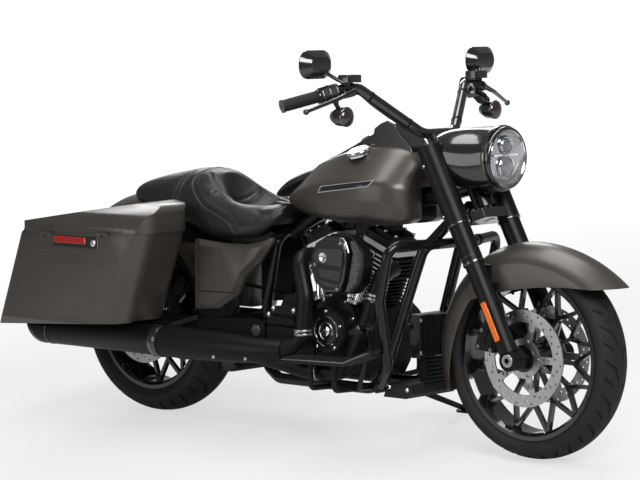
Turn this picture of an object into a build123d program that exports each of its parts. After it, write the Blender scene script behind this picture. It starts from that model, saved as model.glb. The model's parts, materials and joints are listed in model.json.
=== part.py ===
from build123d import *
from math import atan2, cos, degrees, radians, sin, sqrt, tan
import os

# Touring cruiser motorcycle, in millimetres. It is drawn upright, with +X forward, +Y to the
# rider's left and Z up from the ground under the rear axle, and parked on its stand at the end.

# ---------------------------------------------------------------- driving dimensions
WHEELBASE = 1625.0
LEAN = 8.0                       # degrees to the left, on the side stand
RAKE = 26.0                      # steering axis, degrees from upright
TRAIL = 170.0
FORK_RAKE = 27.2                 # fork tubes, degrees from upright
SEAT_GAP = 0.3                   # clearance of a piece from what carries it
RUNNING_FIT = 0.06               # radial clearance of a pin in its bore

FRONT_TYRE_R = 317.0
FRONT_TYRE_W = 130.0
FRONT_RIM_R = 246.0              # bead seat
FRONT_RIM_W = 102.0
REAR_TYRE_R = 324.0
REAR_TYRE_W = 180.0
REAR_RIM_R = 234.0
REAR_RIM_W = 138.0
FRONT_AXLE_Z = FRONT_TYRE_R
REAR_AXLE_Z = REAR_TYRE_R
LIP_H = 9.0                      # rim lip above the bead seat
CROWN_DROP = 20.0                # tyre shoulder below its crown, front
REAR_CROWN_DROP = 32.0
DISC_R = 150.0
DISC_T = 5.0
DISC_BAND = 38.0
FRONT_DISC_Y = 66.0
REAR_DISC_Y = 97.0
PULLEY_R = 151.0
PULLEY_W = 24.0
PULLEY_Y = 106.0

FORK_Y = 125.0                   # half the distance between the fork tubes
SLIDER_R = 30.0
COVER_R = 37.0
CAN_R = 33.0
COVER_TOP_Z = 955.0
COVER_LOW_Z = 718.0
CAN_LOW_Z = 608.0
CLAMP_T = 32.0
NECK_TOP_Z = 905.0
NECK_LOW_Z = 765.0
NECK_R = 34.0
STEM_R = 17.0

BAR_R = 15.9
GRIP_R = 18.5
GRIP_LENGTH = 118.0
HEADLAMP_X = 1509.0
HEADLAMP_Z = 921.5
HEADLAMP_R = 98.0

FRAME_TUBE_R = 17.5
BACKBONE_R = 27.0
CRADLE_Y = 112.0
RAIL_Z = 178.0
PIVOT_X = 590.0
PIVOT_Z = 335.0

CRANK_X = 915.0
CRANK_Z = 335.0
V_ANGLE = 45.0
CASE_HALF_W = 88.0
BAG_WALL = 3.5
MUFFLER_R = 50.0
GUARD_R = 16.0
FENDER_T = 3.0


# ---------------------------------------------------------------- places worked out from them
front_axle_at = Vector(WHEELBASE, 0, FRONT_AXLE_Z)
rear_axle_at = Vector(0, 0, REAR_AXLE_Z)
front_spin = Axis(front_axle_at, (0, 1, 0))
rear_spin = Axis(rear_axle_at, (0, 1, 0))
steer_foot = Vector(WHEELBASE + TRAIL, 0, 0)
steer_up = Vector(-sin(radians(RAKE)), 0, cos(radians(RAKE)))
fork_up = Vector(-sin(radians(FORK_RAKE)), 0, cos(radians(FORK_RAKE)))


def steer_at(height):
    """Point of the steering axis at a height."""
    return steer_foot + steer_up * (height / steer_up.Z)


def fork_at(height, side=1.0):
    """Centre of a fork tube at a height."""
    along = front_axle_at + fork_up * ((height - FRONT_AXLE_Z) / fork_up.Z)
    return Vector(along.X, side * FORK_Y, height)


def across(centre):
    """Plane through a wheel's centre, with y to the left and radius upwards."""
    return Plane(centre, x_dir=(0, 1, 0), z_dir=(1, 0, 0))


def side_on(centre):
    """Plane through a point seen from the right, x forward and z up; extrudes to the right."""
    return Plane(centre, x_dir=(1, 0, 0), z_dir=(0, -1, 0))


def bent_tube(points, bends, radius, bore=0.0):
    """Sweep a tube along straight runs joined by arcs, in the open part."""
    with BuildLine() as path:
        FilletPolyline(*points, radius=bends)
    with BuildSketch(path.line ^ 0) as ring:
        Circle(radius)
        if bore > 0:
            Circle(bore, mode=Mode.SUBTRACT)
    sweep(ring.sketch, path=path.line)


def rod(start, end, radius, end_radius=None):
    """A straight round bar, or a cone, between two points, in the open part."""
    start, end = Vector(start), Vector(end)
    run = end - start
    with BuildSketch(Plane(start, z_dir=run)) as near:
        Circle(radius)
    if end_radius is None:
        extrude(near.sketch, amount=run.length)
    else:
        with BuildSketch(Plane(end, z_dir=run)) as far:
            Circle(end_radius)
        loft([near.sketch, far.sketch])


pieces = {}                      # node name: part, upright


# ---------------------------------------------------------------- tyres
def tyre(centre, spin, radius, width, bead_r, bead_w, drop):
    """Solid tyre ring: bead between the rim lips, flat-sided walls and a crown of level steps."""
    half = width / 2
    shoulder = half - 6.0
    crown_r = (shoulder ** 2 + drop ** 2) / (2 * drop)
    step = (crown_r * sin(radians(2 * LEAN)), radius - crown_r * (1 - cos(radians(2 * LEAN))))
    bead = bead_w / 2 - 7.0
    lip_top = bead_r + LIP_H + 1.0
    wall_r = bead_r + 0.45 * (radius - bead_r)
    with BuildPart() as ring:
        with BuildSketch(across(centre)):
            with BuildLine() as left:
                Polyline((0, radius), step, (shoulder, radius - drop), (half, wall_r), (bead + 5.0, lip_top),
                         (bead, lip_top), (bead, bead_r + SEAT_GAP), (0, bead_r + SEAT_GAP))
                mirror(left.line, about=Plane.YZ)
            make_face()
        revolve(axis=spin)
    return ring.part


pieces["front_tyre"] = tyre(front_axle_at, front_spin, FRONT_TYRE_R, FRONT_TYRE_W,
                            FRONT_RIM_R, FRONT_RIM_W, CROWN_DROP)
pieces["rear_tyre"] = tyre(rear_axle_at, rear_spin, REAR_TYRE_R, REAR_TYRE_W,
                           REAR_RIM_R, REAR_RIM_W, REAR_CROWN_DROP)


# ---------------------------------------------------------------- cast wheels
AXLE_R = 12.5
HUB_BORE = AXLE_R + RUNNING_FIT
SPOKE_NODES = 12
SPOKE_W = 12.0
SPOKE_T = 16.0
NODE_R = 145.0
HUB_LENGTH = 112.0
RIM_T = 14.0


def cast_wheel(centre, spin, rim_r, rim_w, hub_r, hub_length, first_node):
    """Cast wheel: lipped rim, hub with its bore, and zigzag struts from hub lugs to the rim."""
    half = rim_w / 2
    rim_inner = rim_r - RIM_T
    step = 360.0 / SPOKE_NODES
    with BuildPart() as wheel:
        with BuildSketch(across(centre)):
            Polygon((-half, rim_r + LIP_H), (-half + 6.0, rim_r + LIP_H), (-half + 7.0, rim_r),
                    (half - 7.0, rim_r), (half - 6.0, rim_r + LIP_H), (half, rim_r + LIP_H),
                    (half, rim_r - 4.0), (half - 12.0, rim_inner), (-half + 12.0, rim_inner),
                    (-half, rim_r - 4.0), align=None)
        revolve(axis=spin)
        with BuildSketch(side_on(centre)):
            for index in range(SPOKE_NODES):
                with BuildLine() as strut:
                    node = PolarLine((0, 0), NODE_R, first_node + index * step, mode=Mode.PRIVATE) @ 1
                    rim_a = PolarLine((0, 0), rim_inner + 5.0, first_node + (index + 0.5) * step,
                                      mode=Mode.PRIVATE) @ 1
                    rim_b = PolarLine((0, 0), rim_inner + 5.0, first_node + (index - 0.5) * step,
                                      mode=Mode.PRIVATE) @ 1
                    lug_turn = first_node + (index + (0.5 if index % 2 == 0 else -0.5) * 0.55) * step
                    lug = PolarLine((0, 0), hub_r - 6.0, lug_turn, mode=Mode.PRIVATE) @ 1
                    Line(node, rim_a)
                    Line(node, rim_b)
                    Line(node, lug)
                trace(strut.line.edges(), line_width=SPOKE_W)
        extrude(amount=SPOKE_T / 2, both=True)
        with BuildSketch(side_on(centre)):
            Circle(hub_r)
        extrude(amount=hub_length / 2, both=True)
        with BuildSketch(side_on(centre)):
            Circle(HUB_BORE)
        extrude(amount=hub_length, both=True, mode=Mode.SUBTRACT)
    return wheel.part


def disc(centre, y_place, hub_r, thickness=DISC_T):
    """Brake disc: a band on five tabs and a mounting ring round the hub."""
    with BuildPart() as plate:
        plane = side_on(Vector(centre.X, y_place + thickness / 2, centre.Z))
        with BuildSketch(plane):
            Circle(DISC_R)
            Circle(DISC_R - DISC_BAND, mode=Mode.SUBTRACT)
            with PolarLocations(0, 5):
                with Locations((DISC_R - DISC_BAND - 24.0, 0)):
                    Rectangle(70.0, 22.0)
            Circle(hub_r + 20.0)
            Circle(hub_r + SEAT_GAP, mode=Mode.SUBTRACT)
        extrude(amount=thickness)
    return plate.part


FRONT_HUB_R = 42.0
REAR_HUB_R = 52.0
REAR_HUB_LENGTH = 170.0
front_rim = cast_wheel(front_axle_at, front_spin, FRONT_RIM_R, FRONT_RIM_W, FRONT_HUB_R,
                       2 * FRONT_DISC_Y + DISC_T + 8.0, 26.0)
rear_rim = cast_wheel(rear_axle_at, rear_spin, REAR_RIM_R, REAR_RIM_W, REAR_HUB_R,
                      2 * REAR_DISC_Y + DISC_T + 8.0, 10.0)
pieces["front_rim"] = front_rim
pieces["rear_rim"] = rear_rim
with BuildPart() as front_discs:
    add(disc(front_axle_at, FRONT_DISC_Y, FRONT_HUB_R))
    add(disc(front_axle_at, -FRONT_DISC_Y, FRONT_HUB_R))
pieces["front_discs"] = front_discs.part
pieces["rear_disc"] = disc(rear_axle_at, -REAR_DISC_Y, REAR_HUB_R)
with BuildPart() as rear_pulley:
    with BuildSketch(side_on(Vector(0, PULLEY_Y + PULLEY_W / 2, REAR_AXLE_Z))):
        RegularPolygon(PULLEY_R, 48)
        Circle(PULLEY_R - 14.0, mode=Mode.SUBTRACT)
        with PolarLocations(0, 5):
            with Locations((PULLEY_R / 2 + 18.0, 0)):
                Rectangle(PULLEY_R - 60.0, 26.0)
        Circle(REAR_HUB_R + 18.0)
        Circle(REAR_HUB_R + SEAT_GAP, mode=Mode.SUBTRACT)
    extrude(amount=PULLEY_W)
pieces["rear_pulley"] = rear_pulley.part

FRONT_AXLE_HALF = 152.0
FRONT_AXLE_BORE = 8.0
with BuildPart() as front_axle:
    with BuildSketch(side_on(front_axle_at)):
        Circle(AXLE_R)
        Circle(FRONT_AXLE_BORE, mode=Mode.SUBTRACT)
    extrude(amount=FRONT_AXLE_HALF, both=True)
pieces["front_axle"] = front_axle.part
REAR_AXLE_HALF = 160.0
with BuildPart() as rear_axle:
    with BuildSketch(side_on(rear_axle_at)):
        Circle(AXLE_R)
    extrude(amount=REAR_AXLE_HALF, both=True)
    for side in (1, -1):
        with BuildSketch(side_on(Vector(0, side * (REAR_AXLE_HALF - 3.7), REAR_AXLE_Z))):
            RegularPolygon(19.0, 6)
        extrude(amount=3.7, both=True)
pieces["rear_axle"] = rear_axle.part


# ---------------------------------------------------------------- fork
SLIDER_TOP_Z = 600.0
TUBE_R = 24.5
AXLE_BOSS_R = 33.0
AXLE_BOSS_IN = 93.0
AXLE_BOSS_OUT = 146.0
with BuildPart() as fork_sliders:
    for side in (1, -1):
        rod(fork_at(FRONT_AXLE_Z + 20.0, side), fork_at(SLIDER_TOP_Z, side), SLIDER_R)
        with BuildSketch(side_on(Vector(WHEELBASE, side * AXLE_BOSS_IN, FRONT_AXLE_Z))):
            Circle(AXLE_BOSS_R)
        extrude(amount=-side * (AXLE_BOSS_OUT - AXLE_BOSS_IN))
    with BuildSketch(side_on(front_axle_at)):
        Circle(AXLE_R + SEAT_GAP)
    extrude(amount=2 * FORK_Y, both=True, mode=Mode.SUBTRACT)
pieces["fork_sliders"] = fork_sliders.part
with BuildPart() as fork_covers:
    for side in (1, -1):
        rod(fork_at(SLIDER_TOP_Z + SEAT_GAP, side), fork_at(COVER_LOW_Z - SEAT_GAP, side), CAN_R)
        rod(fork_at(COVER_LOW_Z, side), fork_at(COVER_TOP_Z, side), COVER_R)
pieces["fork_covers"] = fork_covers.part

# Steering stem in the neck, with a clamp above and below it.
with BuildPart() as triple_clamps:
    rod(steer_at(NECK_LOW_Z - 40.0), steer_at(NECK_TOP_Z + 40.0), STEM_R)
    for level in (NECK_LOW_Z - 24.0, NECK_TOP_Z + 24.0):
        middle = steer_at(level)
        with BuildSketch(Plane(middle, x_dir=(0, 1, 0), z_dir=steer_up)):
            with BuildLine():
                Polyline((-70.0, 34.0), (70.0, 34.0), (FORK_Y - COVER_R - 4.0, 0.0), (60.0, -34.0),
                         (-60.0, -34.0), (-FORK_Y + COVER_R + 4.0, 0.0), (-70.0, 34.0))
            make_face()
        extrude(amount=CLAMP_T / 2, both=True)
    add(fork_covers.part, mode=Mode.SUBTRACT)
pieces["triple_clamps"] = triple_clamps.part


# ---------------------------------------------------------------- front fender
FENDER_R = 353.0
FENDER_HALF_W = 86.0
FENDER_NOSE_R = 510.0            # flatter arc of the front half
FENDER_SIDE_R = 290.0            # where the round crown meets the upright skirts
fender_top = Vector(WHEELBASE, 0, FRONT_AXLE_Z + FENDER_R)
with BuildPart() as front_fender:
    for arc_r, start, sweep_angle in ((FENDER_R, 0.0, -112.0), (FENDER_NOSE_R, 0.0, 41.0)):
        arc_centre = fender_top - Vector(0, 0, arc_r)
        low = arc_r - (FENDER_R - 196.0)
        side_top = arc_r - (FENDER_R - FENDER_SIDE_R)
        with BuildSketch(across(arc_centre)) as profile:
            with BuildLine():
                crown = ThreePointArc((-FENDER_HALF_W, side_top), (0, arc_r), (FENDER_HALF_W, side_top))
                inner = ThreePointArc((-FENDER_HALF_W + FENDER_T, side_top), (0, arc_r - FENDER_T),
                                      (FENDER_HALF_W - FENDER_T, side_top))
                Polyline(crown @ 1, (FENDER_HALF_W, low), (FENDER_HALF_W - FENDER_T, low), inner @ 1)
                Polyline(crown @ 0, (-FENDER_HALF_W, low), (-FENDER_HALF_W + FENDER_T, low), inner @ 0)
            make_face()
        revolve(axis=Axis(arc_centre, (0, 1, 0)), revolution_arc=sweep_angle)
    # skirts trimmed to their lower edge
    with BuildSketch(side_on(front_axle_at)):
        with BuildLine():
            Polyline((400.0, 262.0), (346.0, 232.0), (262.0, 226.0))
            ThreePointArc((262.0, 226.0), (0.0, 214.0), (-194.0, 168.0))
            ThreePointArc((-194.0, 168.0), (-262.0, 30.0), (-276.0, -130.0))
            Polyline((-276.0, -130.0), (-276.0, -400.0), (600.0, -400.0), (600.0, 262.0), (400.0, 262.0))
        make_face()
    extrude(amount=200.0, both=True, mode=Mode.SUBTRACT)
pieces["front_fender"] = front_fender.part


# ---------------------------------------------------------------- headlamp nacelle
NACELLE_BACK_X = 1275.0
RING_BACK_X = HEADLAMP_X - 12.0
with BuildPart() as nacelle:
    # x and z of the centre, half width and half height of each section, rear to front
    for x, z, half_w, half_h in ((NACELLE_BACK_X, 945.0, 84.0, 38.0), (1330.0, 925.0, 122.0, 82.0),
                                 (1410.0, 912.0, 118.0, 104.0), (RING_BACK_X, HEADLAMP_Z, 100.0, 100.0)):
        with BuildSketch(across((x, 0, z))):
            RectangleRounded(2 * half_w, 2 * half_h, 0.94 * min(half_w, half_h))
    loft()
    # hollow over the neck and clamps, open below
    with BuildSketch(Plane((0, 0, 700.0))):
        with Locations((steer_at(NECK_TOP_Z).X + 5.0, 0)):
            Rectangle(190.0, 156.0)
    extrude(amount=262.0, mode=Mode.SUBTRACT)
    for side in (1, -1):
        foot, head = fork_at(COVER_LOW_Z - 30.0, side), fork_at(COVER_TOP_Z + 60.0, side)
        with BuildSketch(Plane(foot, z_dir=head - foot)):
            Circle(COVER_R + SEAT_GAP)
        extrude(amount=(head - foot).length, mode=Mode.SUBTRACT)
    add(triple_clamps.part, mode=Mode.SUBTRACT)
pieces["nacelle"] = nacelle.part

LENS_R = 86.0
LENS_CROWN = 20.0
with BuildPart() as headlamp:
    with BuildSketch(Plane((RING_BACK_X + SEAT_GAP, 0, HEADLAMP_Z), x_dir=(1, 0, 0), z_dir=(0, -1, 0))):
        with BuildLine():
            Polyline((0, 0), (0, HEADLAMP_R), (8.0, HEADLAMP_R))
            ThreePointArc((8.0, HEADLAMP_R), (15.0, HEADLAMP_R - 4.0), (17.0, LENS_R))
            Line((17.0, LENS_R), (12.0, LENS_R - 2.0))
            ThreePointArc((12.0, LENS_R - 2.0), (12.0 + 0.75 * LENS_CROWN, LENS_R / 2),
                          (12.0 + LENS_CROWN, 4.0))
            Polyline((12.0 + LENS_CROWN, 4.0), (12.0 + LENS_CROWN, 0), (0, 0))
        make_face()
    revolve(axis=Axis((0, 0, HEADLAMP_Z), (1, 0, 0)))
pieces["headlamp"] = headlamp.part


# ---------------------------------------------------------------- handlebar and controls
BAR_HALF_W = 482.0
bar_points = ((1236.0, 76.0, 992.0), (1125.0, 268.0, 1144.0), (1020.0, BAR_HALF_W, 1087.0))
bar_bend = Vector(*bar_points[1])
bar_end = Vector(*bar_points[2])
grip_run = (bar_end - bar_bend).normalized()
with BuildPart() as handlebar:
    bent_tube([(x, -y, z) for x, y, z in reversed(bar_points)] + list(bar_points), [60.0] * 4, BAR_R)
    # two risers down to the top clamp
    for side in (1, -1):
        rod((1240.0, side * 42.0, 985.0), (1262.0, side * 42.0, 945.0), 17.0)
    add(nacelle.part, mode=Mode.SUBTRACT)
pieces["handlebar"] = handlebar.part


def on_bar(distance, side=1.0):
    """Point on the grip run, a distance in from the bar's end."""
    spot = bar_end - grip_run * distance
    return Vector(spot.X, side * spot.Y, spot.Z)


SWITCH_LENGTH = 62.0
PERCH_LENGTH = 34.0
with BuildPart() as grips:
    for side in (1, -1):
        near, far = on_bar(GRIP_LENGTH, side), on_bar(-8.0, side)
        with BuildSketch(Plane(near, z_dir=far - near)):
            Circle(GRIP_R)
            Circle(BAR_R + SEAT_GAP / 3, mode=Mode.SUBTRACT)
        extrude(amount=GRIP_LENGTH)
        with BuildSketch(Plane(on_bar(-SEAT_GAP, side), z_dir=far - near)):
            Circle(GRIP_R + 2.0)
        extrude(amount=8.0)
pieces["grips"] = grips.part
with BuildPart() as switches:
    for side in (1, -1):
        near, far = on_bar(GRIP_LENGTH + SEAT_GAP + SWITCH_LENGTH, side), on_bar(GRIP_LENGTH + SEAT_GAP, side)
        with BuildSketch(Plane(near, x_dir=(1, 0, 0.4), z_dir=far - near)):
            RectangleRounded(56.0, 46.0, 14.0)
            Circle(BAR_R + SEAT_GAP / 3, mode=Mode.SUBTRACT)
        extrude(amount=SWITCH_LENGTH)
pieces["switches"] = switches.part
LEVER_BALL = Vector(1122.0, 493.0, 1071.0)
with BuildPart() as levers:
    for side in (1, -1):
        inner = on_bar(GRIP_LENGTH + 2 * SEAT_GAP + SWITCH_LENGTH + PERCH_LENGTH, side)
        outer = on_bar(GRIP_LENGTH + 2 * SEAT_GAP + SWITCH_LENGTH, side)
        with BuildSketch(Plane(inner, x_dir=(1, 0, 0), z_dir=outer - inner)):
            RectangleRounded(52.0, 44.0, 12.0)
            with Locations((36.0, -4.0)):
                RectangleRounded(46.0, 26.0, 8.0)
            Circle(BAR_R + SEAT_GAP / 3, mode=Mode.SUBTRACT)
        extrude(amount=PERCH_LENGTH)
        # reservoir on top of the perch
        with BuildSketch(Plane(inner + Vector(26.0, side * 16.0, 20.0))):
            RectangleRounded(52.0, 62.0, 10.0)
        extrude(amount=22.0)
        pivot = inner + Vector(50.0, side * 20.0, -4.0)
        ball = Vector(LEVER_BALL.X, side * LEVER_BALL.Y, LEVER_BALL.Z)
        rod(pivot, pivot + (ball - pivot) * 0.35 + Vector(10.0, 0, 0), 9.0, 7.0)
        rod(pivot + (ball - pivot) * 0.35 + Vector(10.0, 0, 0), ball, 7.0, 5.5)
        with Locations(pivot + (ball - pivot) * 0.35 + Vector(10.0, 0, 0)):
            Sphere(7.0)
        with Locations(ball):
            Sphere(9.5)
pieces["levers"] = levers.part

MIRROR_AT = Vector(1078.0, 403.0, 1212.5)
MIRROR_W = 146.0
MIRROR_H = 88.0
SIGNAL_AT = Vector(1148.0, 365.0, 1053.0)
SIGNAL_R = 30.0
with BuildPart() as mirrors:
    for side in (1, -1):
        centre = Vector(MIRROR_AT.X, side * MIRROR_AT.Y, MIRROR_AT.Z)
        with BuildSketch(Plane(centre, x_dir=(0, 1, 0), z_dir=(1, 0, 0))):
            RectangleRounded(MIRROR_W, MIRROR_H, 40.0)
        with BuildSketch(Plane(centre + Vector(26.0, 0, 0), x_dir=(0, 1, 0), z_dir=(1, 0, 0))):
            RectangleRounded(0.6 * MIRROR_W, 0.55 * MIRROR_H, 22.0)
        loft()
        foot = on_bar(GRIP_LENGTH + SWITCH_LENGTH + PERCH_LENGTH + 12.0, side)
        foot = Vector(foot.X + 4.0, foot.Y, foot.Z + BAR_R + 2.0)
        knee = Vector(foot.X + 18.0, side * 330.0, 1150.0)
        rod(foot, knee, 6.0)
        with Locations(knee):
            Sphere(6.0)
        rod(knee, centre + Vector(14.0, -side * 20.0, -20.0), 6.0)
    add(levers.part, mode=Mode.SUBTRACT)
    add(handlebar.part, mode=Mode.SUBTRACT)
pieces["mirrors"] = mirrors.part
with BuildPart() as front_signals:
    for side in (1, -1):
        centre = Vector(SIGNAL_AT.X, side * SIGNAL_AT.Y, SIGNAL_AT.Z)
        with BuildSketch(Plane(centre, x_dir=(1, 0, 0), z_dir=(0, -1, 0))):
            with BuildLine():
                Polyline((-38.0, 0), (-30.0, 17.0), (-8.0, SIGNAL_R - 2.0), (22.0, SIGNAL_R), (26.0, SIGNAL_R))
                ThreePointArc((26.0, SIGNAL_R), (34.0, SIGNAL_R / 2), (37.0, 4.0))
                Polyline((37.0, 4.0), (37.0, 0), (-38.0, 0))
            make_face()
        revolve(axis=Axis(centre, (1, 0, 0)))
        rod(centre + Vector(-4.0, 0, 20.0), centre + Vector(-30.0, 0, 52.0), 7.0)
    add(levers.part, mode=Mode.SUBTRACT)
    add(switches.part, mode=Mode.SUBTRACT)
pieces["front_signals"] = front_signals.part

# Front brake calipers, behind the fork legs.
with BuildPart() as front_calipers:
    for side in (1, -1):
        at_disc = Vector(front_axle_at.X, side * (FRONT_DISC_Y - 20.0), FRONT_AXLE_Z)
        with BuildSketch(side_on(at_disc)):
            with BuildLine():
                inner = CenterArc((0, 0), 100.0, 128.0, 46.0)
                outer = CenterArc((0, 0), 172.0, 128.0, 46.0)
                Line(inner @ 0, outer @ 0)
                Line(inner @ 1, outer @ 1)
            make_face()
        extrude(amount=-side * 44.0)
        with BuildSketch(side_on(Vector(front_axle_at.X, side * FRONT_DISC_Y, FRONT_AXLE_Z))):
            Circle(DISC_R + 4.0)
        extrude(amount=DISC_T / 2 + 3.0, both=True, mode=Mode.SUBTRACT)
    add(fork_sliders.part, mode=Mode.SUBTRACT)
pieces["front_calipers"] = front_calipers.part
# ---------------------------------------------------------------- side stand
STAND_FOOT_Y = 366.0
STAND_FOOT_X = 1048.0
STAND_R = 11.0
ground_up = Vector(0, -sin(radians(LEAN)), cos(radians(LEAN)))
stand_pivot = Vector(996.0, 148.0, 150.0)
foot_z = STAND_FOOT_Y * tan(radians(LEAN))
stand_foot = Vector(STAND_FOOT_X, STAND_FOOT_Y, foot_z)
leg_out = (stand_foot - stand_pivot).normalized()
leg_back = Vector(-1.0, 0.10, 0.0).normalized()
stand_axis = leg_out.cross(leg_back).normalized()
STAND_TURN = degrees(atan2(leg_out.cross(leg_back).length, leg_out.dot(leg_back)))
STAND_BOLT_R = 8.0
with BuildPart() as side_stand:
    rod(stand_pivot, stand_foot + ground_up * 9.0, STAND_R, STAND_R - 2.0)
    with BuildSketch(Plane(stand_pivot - stand_axis * 11.0, z_dir=stand_axis)):
        Circle(19.0)
    extrude(amount=22.0)
    with BuildSketch(Plane(stand_foot, x_dir=(1, 0, 0), z_dir=ground_up)):
        RectangleRounded(62.0, 44.0, 16.0)
    extrude(amount=7.0)
    with BuildSketch(Plane(stand_pivot - stand_axis * 20.0, z_dir=stand_axis)):
        Circle(STAND_BOLT_R + RUNNING_FIT)
    extrude(amount=40.0, mode=Mode.SUBTRACT)
    # flush with the ground under the foot
    with BuildSketch(Plane(stand_foot, x_dir=(1, 0, 0), z_dir=ground_up)):
        Rectangle(200.0, 200.0)
    extrude(amount=-40.0, mode=Mode.SUBTRACT)
pieces["side_stand"] = side_stand.part


# ---------------------------------------------------------------- frame
PIVOT_R = 13.0
POST_Y = 72.0
neck_run = steer_at(NECK_TOP_Z) - steer_at(NECK_LOW_Z)
with BuildPart() as frame:
    for side in (1, -1):
        bent_tube([(1352.0, side * 12.0, 770.0), (1246.0, side * 92.0, 625.0),
                   (1132.0, side * CRADLE_Y, 300.0), (1078.0, side * CRADLE_Y, RAIL_Z),
                   (650.0, side * CRADLE_Y, RAIL_Z), (560.0, side * POST_Y, RAIL_Z + 30.0),
                   (560.0, side * POST_Y, 420.0), (610.0, side * POST_Y, 640.0),
                   (610.0, side * 2.0, 655.0)],
                  [60.0, 110.0, 80.0, 60.0, 40.0, 110.0, 50.0], FRAME_TUBE_R)
        rod((610.0, side * (POST_Y - 8.0), 640.0), (610.0, side * 119.0, 640.0), FRAME_TUBE_R - 3.0)
    bent_tube([steer_at(835.0), (1230.0, 0, 790.0), (780.0, 0, 745.0), (610.0, 0, 650.0)],
              [200.0, 200.0], BACKBONE_R)
    rod(steer_at(NECK_LOW_Z), steer_at(NECK_TOP_Z), NECK_R)
    # cross tubes under the engine
    for x in (1070.0, 680.0):
        rod((x, CRADLE_Y, RAIL_Z), (x, -CRADLE_Y, RAIL_Z), FRAME_TUBE_R - 4.0)
    # swing arm pivot lugs
    for side in (1, -1):
        with BuildSketch(side_on((PIVOT_X - 15.0, side * (POST_Y - 12.0), PIVOT_Z))):
            RectangleRounded(78.0, 90.0, 22.0)
        extrude(amount=-side * 24.0)
        # flat struts back over the fender
        with BuildSketch(side_on((0, side * 118.0, 0))):
            with BuildLine():
                Polyline((640.0, 655.0), (600.0, 612.0), (80.0, 612.0), (-230.0, 566.0), (-238.0, 600.0),
                         (70.0, 652.0), (600.0, 668.0), (640.0, 655.0))
            make_face()
        extrude(amount=-side * 8.0)
    with BuildSketch(Plane(steer_at(NECK_LOW_Z - 30.0), z_dir=steer_up)):
        Circle(STEM_R + RUNNING_FIT)
    extrude(amount=neck_run.length + 80.0, mode=Mode.SUBTRACT)
    with BuildSketch(side_on((PIVOT_X, 0, PIVOT_Z))):
        Circle(PIVOT_R + SEAT_GAP)
    extrude(amount=300.0, both=True, mode=Mode.SUBTRACT)
    # ears, web and bolt of the side stand
    for reach in (11.5, -11.5 - 9.0):
        with BuildSketch(Plane(stand_pivot + stand_axis * reach, x_dir=(1, 0, 0), z_dir=stand_axis)):
            Circle(19.0)
            with Locations((0, -22.0)):
                Rectangle(38.0, 44.0)
        extrude(amount=9.0)
    rod(stand_pivot - stand_axis * 24.0, stand_pivot + stand_axis * 24.0, STAND_BOLT_R)
    with BuildSketch(Plane(stand_pivot - stand_axis * 20.5, x_dir=(1, 0, 0), z_dir=stand_axis)):
        with Locations((0, -40.0)):
            Rectangle(38.0, 12.0)
    extrude(amount=41.0)
    for level, reach in ((NECK_TOP_Z, 60.0), (NECK_LOW_Z, -60.0)):
        with BuildSketch(Plane(steer_at(level), z_dir=steer_up)):
            Circle(NECK_R + 30.0)
        extrude(amount=reach, mode=Mode.SUBTRACT)
pieces["frame"] = frame.part


# ---------------------------------------------------------------- swing arm and shocks
ARM_IN = 128.0
ARM_T = 24.0
with BuildPart() as swing_arm:
    for side in (1, -1):
        with BuildSketch(side_on((0, side * ARM_IN, 0))):
            with BuildLine():
                Polyline((-48.0, REAR_AXLE_Z - 24.0), (60.0, REAR_AXLE_Z - 26.0), (PIVOT_X - 60.0, PIVOT_Z - 34.0),
                         (PIVOT_X + 34.0, PIVOT_Z - 30.0), (PIVOT_X + 34.0, PIVOT_Z + 30.0),
                         (PIVOT_X - 60.0, PIVOT_Z + 34.0), (60.0, REAR_AXLE_Z + 26.0),
                         (-48.0, REAR_AXLE_Z + 24.0), (-48.0, REAR_AXLE_Z - 24.0))
            make_face()
        extrude(amount=-side * ARM_T)
    # bridge ahead of the tyre
    with BuildSketch(side_on((0, 0, 0))):
        with Locations((420.0, PIVOT_Z + 2.0)):
            RectangleRounded(70.0, 56.0, 14.0)
    extrude(amount=ARM_IN + 1.0, both=True)
    for centre, bore in ((rear_axle_at, AXLE_R), ((PIVOT_X, 0, PIVOT_Z), PIVOT_R)):
        with BuildSketch(side_on(centre)):
            Circle(bore + SEAT_GAP)
        extrude(amount=REAR_AXLE_HALF, both=True, mode=Mode.SUBTRACT)
pieces["swing_arm"] = swing_arm.part
with BuildPart() as pivot_shaft:
    rod((PIVOT_X, -ARM_IN - ARM_T - 6.0, PIVOT_Z), (PIVOT_X, ARM_IN + ARM_T + 6.0, PIVOT_Z), PIVOT_R)
    for side in (1, -1):
        with BuildSketch(side_on((PIVOT_X, side * (ARM_IN + ARM_T + 4.5 + SEAT_GAP), PIVOT_Z))):
            RegularPolygon(20.0, 6)
        extrude(amount=4.0, both=True)
pieces["pivot_shaft"] = pivot_shaft.part
SHOCK_Y = 142.0
shock_low = Vector(30.0, SHOCK_Y, 380.0)
shock_high = Vector(150.0, SHOCK_Y, 596.0)
with BuildPart() as shocks:
    for side in (1, -1):
        low_eye = Vector(shock_low.X, side * SHOCK_Y, shock_low.Z)
        high_eye = Vector(shock_high.X, side * SHOCK_Y, shock_high.Z)
        along = high_eye - low_eye
        rod(low_eye, low_eye + along * 0.55, 16.0)
        rod(low_eye + along * 0.5, high_eye, 21.0)
        for eye in (low_eye, high_eye):
            with BuildSketch(side_on((eye.X, side * (SHOCK_Y - 15.0), eye.Z))):
                Circle(20.0)
            extrude(amount=-side * 30.0)
        with BuildSketch(side_on((0, side * (SHOCK_Y - 10.0), 0))):
            with Locations((shock_low.X, (REAR_AXLE_Z + 24.0 + shock_low.Z) / 2 - 4.0)):
                Rectangle(26.0, 40.0)
        extrude(amount=-side * 20.0)
    add(swing_arm.part, mode=Mode.SUBTRACT)
pieces["shocks"] = shocks.part


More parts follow.
